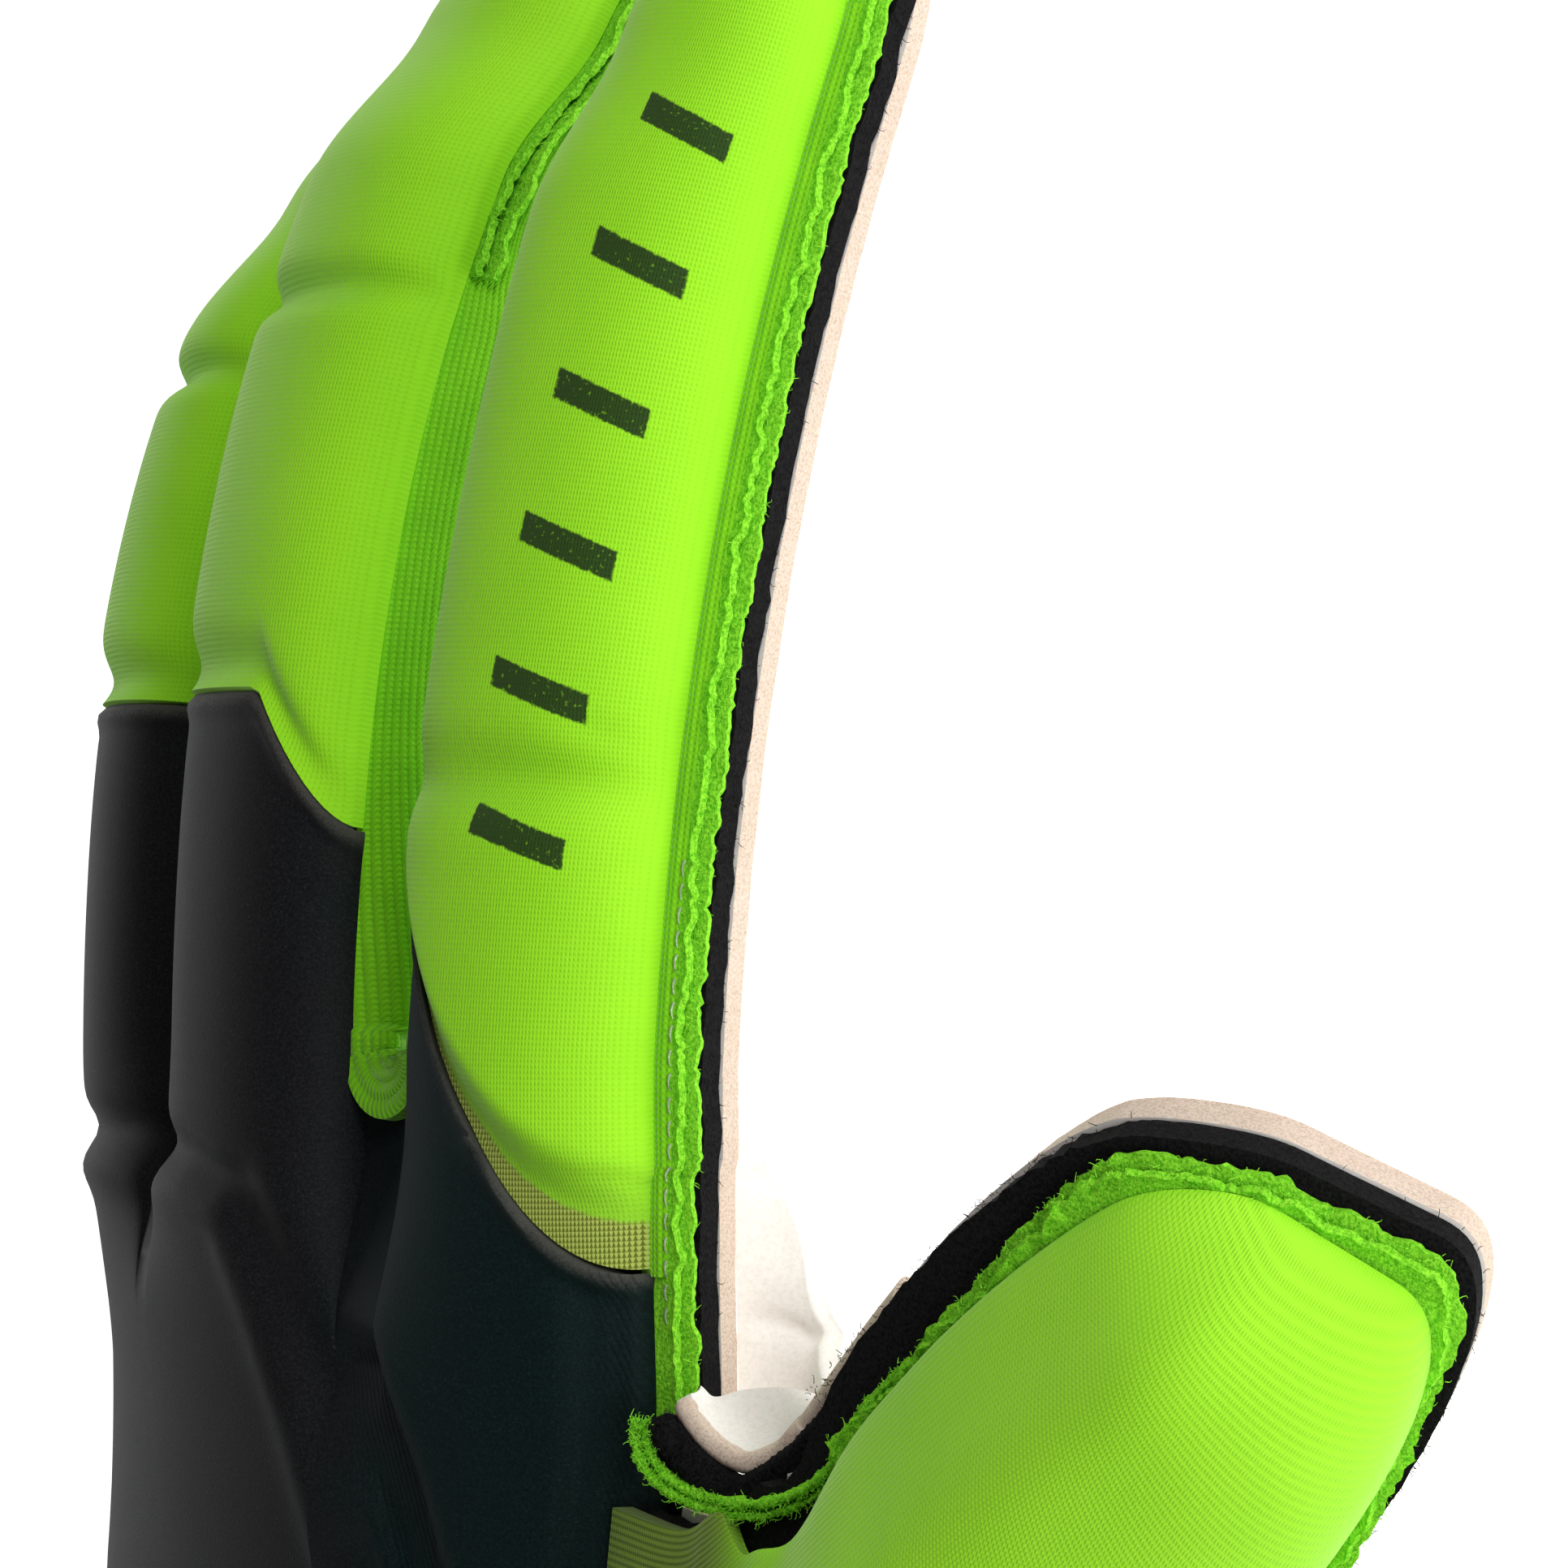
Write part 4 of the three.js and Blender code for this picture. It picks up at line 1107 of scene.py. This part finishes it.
# The seam round the thumb starts clear of the hand on both sides
def thumbEdges():
    line = lines["thumb"]
    length = line["run"][-1]
    part = partOf(line, 25, length - 14)
    toTip = np.linalg.norm(line["edge"] - onThumb(1, 1 - thumbTip, 0), axis=1)
    tipRun = line["run"][np.argmin(toTip)]
    back = np.interp(part["run"] - tipRun, [-14, 4, 44, 64], [4.2, 1.3, 1.0, -0.4])
    shifted = dict(part, edge=part["edge"] - part["out"] * back[:, None])
    seam("edge_thumb", shifted, ["seam_thumb"], 700)
    fibres("thumb_fleece_fuzz", part, int(length) * 7, (-1.4, 0.15), (backingLow, backingTop), 0.7,
           801, looseBlack)


thumbEdges()
for number, name in enumerate(["little", "index"]):
    line = lines[name]
    fibres(name + "_fleece_fuzz", line, int(line["run"][-1]) * 7, (-0.2, 0.15),
           (backingLow, backingTop), 0.7, 811 + number, looseBlack)
indexLine = lines["index"]
lower = partOf(indexLine, indexLine["run"][-1] - 105, indexLine["run"][-1] - 10.5)
edgeStrip("index_margin", lower, [(-3.6, 7.0, 0), (-2.6, 7.35, 0), (-1.9, 7.35, 0), (-1.4, 7.0, 0)],
          0.5, 0, 0, 5, marginKnit, ["seam_index"])
stitches("index_stitches", indexLine, -1.25, 7.35, 1.7, threadWhite, 0.12,
         low=indexLine["run"][-1] - 42, high=indexLine["run"][-1] - 6)


# Fold of latex between thumb and index finger
web = {"near": [(52.8, 139, 16.6), (57, 138.5, 15.6), (59.5, 138, 16.6), (61.5, 137.8, 18.3)],
       "far": [(52.8, 167.5, 21.6), (54.0, 160, 15.8), (57.5, 151.5, 14.5), (67, 143.5, 18.2)]}


def webFold():
    obj, j, i = grid("web_fold", np.linspace(0, 1, 60), np.linspace(0, 1, 60))

    def at(i, j):
        return mix(curve(web["near"], i), curve(web["far"], i), j[:, None])

    out = unit(np.cross(at(np.minimum(i + 0.05, 1), j) - at(np.maximum(i - 0.05, 0), j),
                        at(i, j + 0.1) - at(i, j - 0.1)))
    edge = np.sin(i * math.pi) * np.minimum(1, 6 * j)
    y = at(i, j)[:, 1] + centre[1] + 0.5 * wobble(j * 12, 3, 61)
    crease = -1.4 * bump(y - 149.5, 0.8) - 1.2 * bump(y - 160.3, 0.7) + 0.7 * bump(y - 153, 2.2)
    crease = crease + 0.6 * bump(y - 146.6, 1.6) + 0.5 * bump(y - 163.4, 1.8)
    crease = crease * edge * 0.6 - 1.4 * smooth(j, 0.9, 1) ** 2
    dress(obj, at(i, j) + out * crease[:, None], i * 30, j * 30, latexFace)
    thicken(obj, 1.6, 1)
    finish(obj, ["web_latex"])


webFold()


# Curled edge of the notch: the thumb's sheets end in it, with their cut edges to the thumb side
notch = {
    "foam": [(72.9, 143.6, 23.4), (71.5, 142.1, 23.7), (69.8, 140.5, 24.2), (67.8, 139.6, 25.4),
             (65.9, 140.1, 26.5), (64.3, 141.2, 27.4), (62.9, 142.6, 28.0), (61.9, 143.7, 27.9)],
    "fleece": [(75.2, 143.0, 23.6), (72.1, 140.0, 24.3), (68.6, 137.6, 25.7), (66.5, 137.9, 27.1),
               (64.7, 139.1, 28.4), (63.1, 140.5, 29.3), (61.6, 142.0, 29.9)],
    "seam": [(81.8, 141.2, 26.1), (78.3, 138.5, 26.4), (73.7, 136.8, 26.7), (70.0, 136.3, 27.1),
             (66.1, 136.4, 27.6), (63.6, 137.2, 29.2), (61.9, 138.7, 30.3), (60.9, 140.5, 30.6),
             (60.6, 141.8, 30.5)],
    "dish": [(67.7, 144.5, 19.7), (64.7, 145.0, 20.8), (62.2, 144.6, 22.7), (60.9, 143.7, 24.6),
             (60.2, 144.1, 25.8)]}


# A path of the notch, begun on the thumb's own edge at out and up from it
def joined(key, out, up):
    line = lines["thumb"]
    start = onEdge(line, np.array([36.0, 31.0]), np.array([out, out]), np.array([up, up])) + centre
    return [tuple(p) for p in start] + notch[key]


toThumb = np.array([0.845, -0.08, 0.528])
lipLong = 40


# A lip swept along a path, with its cut edge facing the thumb side
def lip(name, path, width, depth, fray, shift, seed, material, stands):
    t = np.linspace(0, 1, 170)
    spot = curve(path, t)
    ahead = unit(np.gradient(spot, axis=0))
    face = unit(toThumb - (ahead @ toThumb)[:, None] * ahead)
    side = np.cross(ahead, face)
    obj, u, v = grid(name, np.linspace(0, 2 * math.pi, 25), np.arange(len(t)))
    i = v.astype(int)
    c, s = np.cos(u), np.sin(u)
    full = np.where((i == 0) | (i == len(t) - 1), 0, np.where((i == 1) | (i == len(t) - 2), 0.8, 1))
    waves = 0.5 * np.sin(3 * u + 9 * t[i] * lipLong)
    loose = fray * (ruffle(t[i] * lipLong, seed) + waves) * (s > -0.2)
    wide = np.sign(c) * np.abs(c) ** 0.7 * (width / 2 + loose)
    deep = np.sign(s) * np.abs(s) ** 0.7 * (depth / 2 + loose) - depth / 2
    place = spot[i] + side[i] * (shift + wide * full)[:, None] + face[i] * (deep * full)[:, None]
    dress(obj, place, u, t[i] * lipLong, material)
    outward(obj)
    finish(obj, stands)
    return {"edge": spot + side * shift, "out": face, "up": side, "run": t * lipLong}


def notchCurl():
    lip("notch_foam", joined("foam", -0.3, 1.3), 1.7, 3.2, 0.03, 0, 71, latexCut, ["thumb_latex"])
    line = lip("notch_fleece", joined("fleece", -2.6, 4.0), 2.5, 3.2, 0.12, 0, 73, fleece,
               ["thumb_backing"])
    fibres("notch_fleece_fuzz", line, 700, (-0.2, 0.1), (-1.2, 1.2), 0.7, 75, looseBlack)
    path = joined("seam", -4.8, 6.3)
    for number, shift in enumerate((-0.42, 0.42)):
        line = lip(f"notch_seam_{number}", path, 0.72, 2.6, 0.2, shift, 77 + number, rawEdge,
                   ["seam_thumb"])
        fibres(f"notch_seam_fuzz_{number}", line, 700, (-0.3, 0.2), (-0.4, 0.4), 0.8, 79 + number,
               looseGreen)
    obj, u, v = grid("notch_dish", np.linspace(0, 1, 20), np.linspace(0, 1, 60))
    near, far = curve(notch["foam"], v), curve(notch["dish"], v)
    sag = np.array([-0.5, -0.6, -0.4]) * (np.sin(u * math.pi) * np.sin(v * math.pi))[:, None] * 1.5
    place = mix(near, far, u[:, None]) + sag - np.array([0.6, 0, 0.4])
    dress(obj, place, u * 8, v * 20, latexFace)
    thicken(obj, 1.2, 0)
    finish(obj, ["thumb_latex"])


notchCurl()


cuff = {"half": 39.5, "rise": 16, "power": 0.8, "sink": 1.2, "round": 200}


# Place on the cuff, flattened where it lies on the table
def cuffPoint(angle, along, out):
    c, s = np.cos(angle), np.sin(angle)
    x = np.sign(c) * np.abs(c) ** cuff["power"] * (cuff["half"] + out)
    z = cuff["rise"] + np.sign(s) * np.abs(s) ** cuff["power"] * (cuff["rise"] + out) - cuff["sink"]
    return np.stack([x - centre[0], along - centre[1], np.maximum(z, -out)], -1)


def wrist():
    print("wrist")
    obj, u, v = grid("wrist_tube", np.linspace(0, 1, 241), np.linspace(0, heelAlong - gap, 45))
    ribs = -0.25 * np.abs(np.sin(u * 240 * math.pi / 4))
    hem = -0.5 * bump(v - 7, 0.6) - 0.5 * bump(v - 8.6, 0.5)
    place = cuffPoint(-u * 2 * math.pi, v, ribs + hem)
    # Its brim is drawn in to the outline of the hand
    side = np.linspace(-1, 1, 81) * (palmHalf(heelAlong) - seamMargin)
    hand = onHand(side, heelAlong, handTop(side, heelAlong, 0))
    brim = np.interp(place[:, 0], hand[:, 0], hand[:, 2]) + 0.4
    lower = np.minimum(place[:, 2], np.maximum(brim, flatBase))
    place[:, 2] = mix(place[:, 2], lower, smooth(v, 53, heelAlong - 1))
    dress(obj, place, u * cuff["round"], v, elastic)
    thicken(obj, 1.9)
    finish(obj, ["wrist_cuff"])

    obj, u, v = grid("wrist_band", np.linspace(1, 0, 161), np.linspace(strapLow, strapHigh, 41))
    angle = mix(-0.45, math.pi + 0.45, u)
    edge = np.minimum(v - strapLow, strapHigh - v)
    out = gap + 1.9 - 0.5 * bump(edge, 0.7) - 0.35 * bump(edge - 2.4, 0.35)
    out = out + 0.15 * bump(edge - 1.4, 0.6)
    end = np.minimum(u, 1 - u) * 130
    out = out - 0.5 * bump(end, 0.7) - 0.3 * bump(end - 2.4, 0.4)
    dress(obj, cuffPoint(angle, v, out), v, u * 130, webbing)
    thicken(obj, 1.7)
    finish(obj, ["wrist_strap"])

    for name, along in (("low", strapLow + 2.4), ("high", strapHigh - 2.4)):
        steps = np.linspace(0, 1, 300)
        angle = mix(-0.42, math.pi + 0.42, steps)
        low, high = (cuffPoint(angle, np.full(300, along), h) for h in (0, 4))
        line = framed(low, high - low)
        stitches("band_stitches_" + name, line, 0, 2.0, 2.2, threadBlack, 0.15)


wrist()
for cutter in cutters:
    bpy.data.objects.remove(cutter)

# Camera: looks from the thumb side, low over the back of the hand
view = {"azimuth": 84.61, "elevation": 31.9, "roll": 7.38, "distance": 450, "scale": 16.222,
        "width": 1932, "sensor": 36}
target = Vector((19.328, 58.516, 20.34))
turn, lift, roll = (math.radians(view[k]) for k in ("azimuth", "elevation", "roll"))
away = Vector((-math.sin(turn) * math.cos(lift), math.cos(turn) * math.cos(lift), -math.sin(lift)))
level = away.cross(Vector((0, 1, 0))).normalized()
upright = level.cross(away)
right = math.cos(roll) * level + math.sin(roll) * upright
top = -math.sin(roll) * level + math.cos(roll) * upright
fresh()
bpy.ops.object.camera_add()
camera = bpy.context.object
camera.name = "camera"
place = Matrix((right, top, -away)).transposed().to_4x4()
place.translation = (target - away * view["distance"]) * mm
camera.matrix_world = place
camera.data.sensor_width = view["sensor"]
camera.data.lens = view["scale"] * view["distance"] * view["sensor"] / view["width"]
camera.data.clip_start = 0.02
camera.data.clip_end = 20
camera.data.dof.use_dof = False
scene.camera = camera
print("camera set")

fresh()
bpy.ops.mesh.primitive_plane_add(size=12)
floor = bpy.context.object
floor.name = "floor"
# The floor glows: its emission keeps it white and lights the glove's undersides from below like a
# lamp
glowingFloor = Shade("glowing_floor", Specular_IOR_Level=0.1, Emission_Strength=0.85,
             Emission_Color=tint(1, 1, 1))
floor.data.materials.append(glowingFloor.look(tint(0.93, 0.93, 0.93), 0.9, glowingFloor.cloud(4.0, 3), 0.02))

world = bpy.data.worlds.new("studio")
scene.world = world
world.use_nodes = True
sky = world.node_tree.nodes["Background"].inputs
sky["Color"].default_value = tint(1, 1, 1)
sky["Strength"].default_value = 0.16
for name, spot, power, size in (("key", (0.5, 0.45, 0.3), 2.2, 0.3),
                                ("side", (0.7, -0.1, 0.05), 2.8, 0.4),
                                ("rim", (-0.6, 0.1, 0.25), 1.0, 0.4)):
    fresh()
    bpy.ops.object.light_add(type="AREA", location=spot)
    light = bpy.context.object
    light.name = name
    light.data.energy = power
    light.data.size = size
    aim = Vector((0, 0.05, 0)) - light.location
    light.rotation_euler = aim.to_track_quat("-Z", "Y").to_euler()
scene.view_settings.view_transform = "Standard"
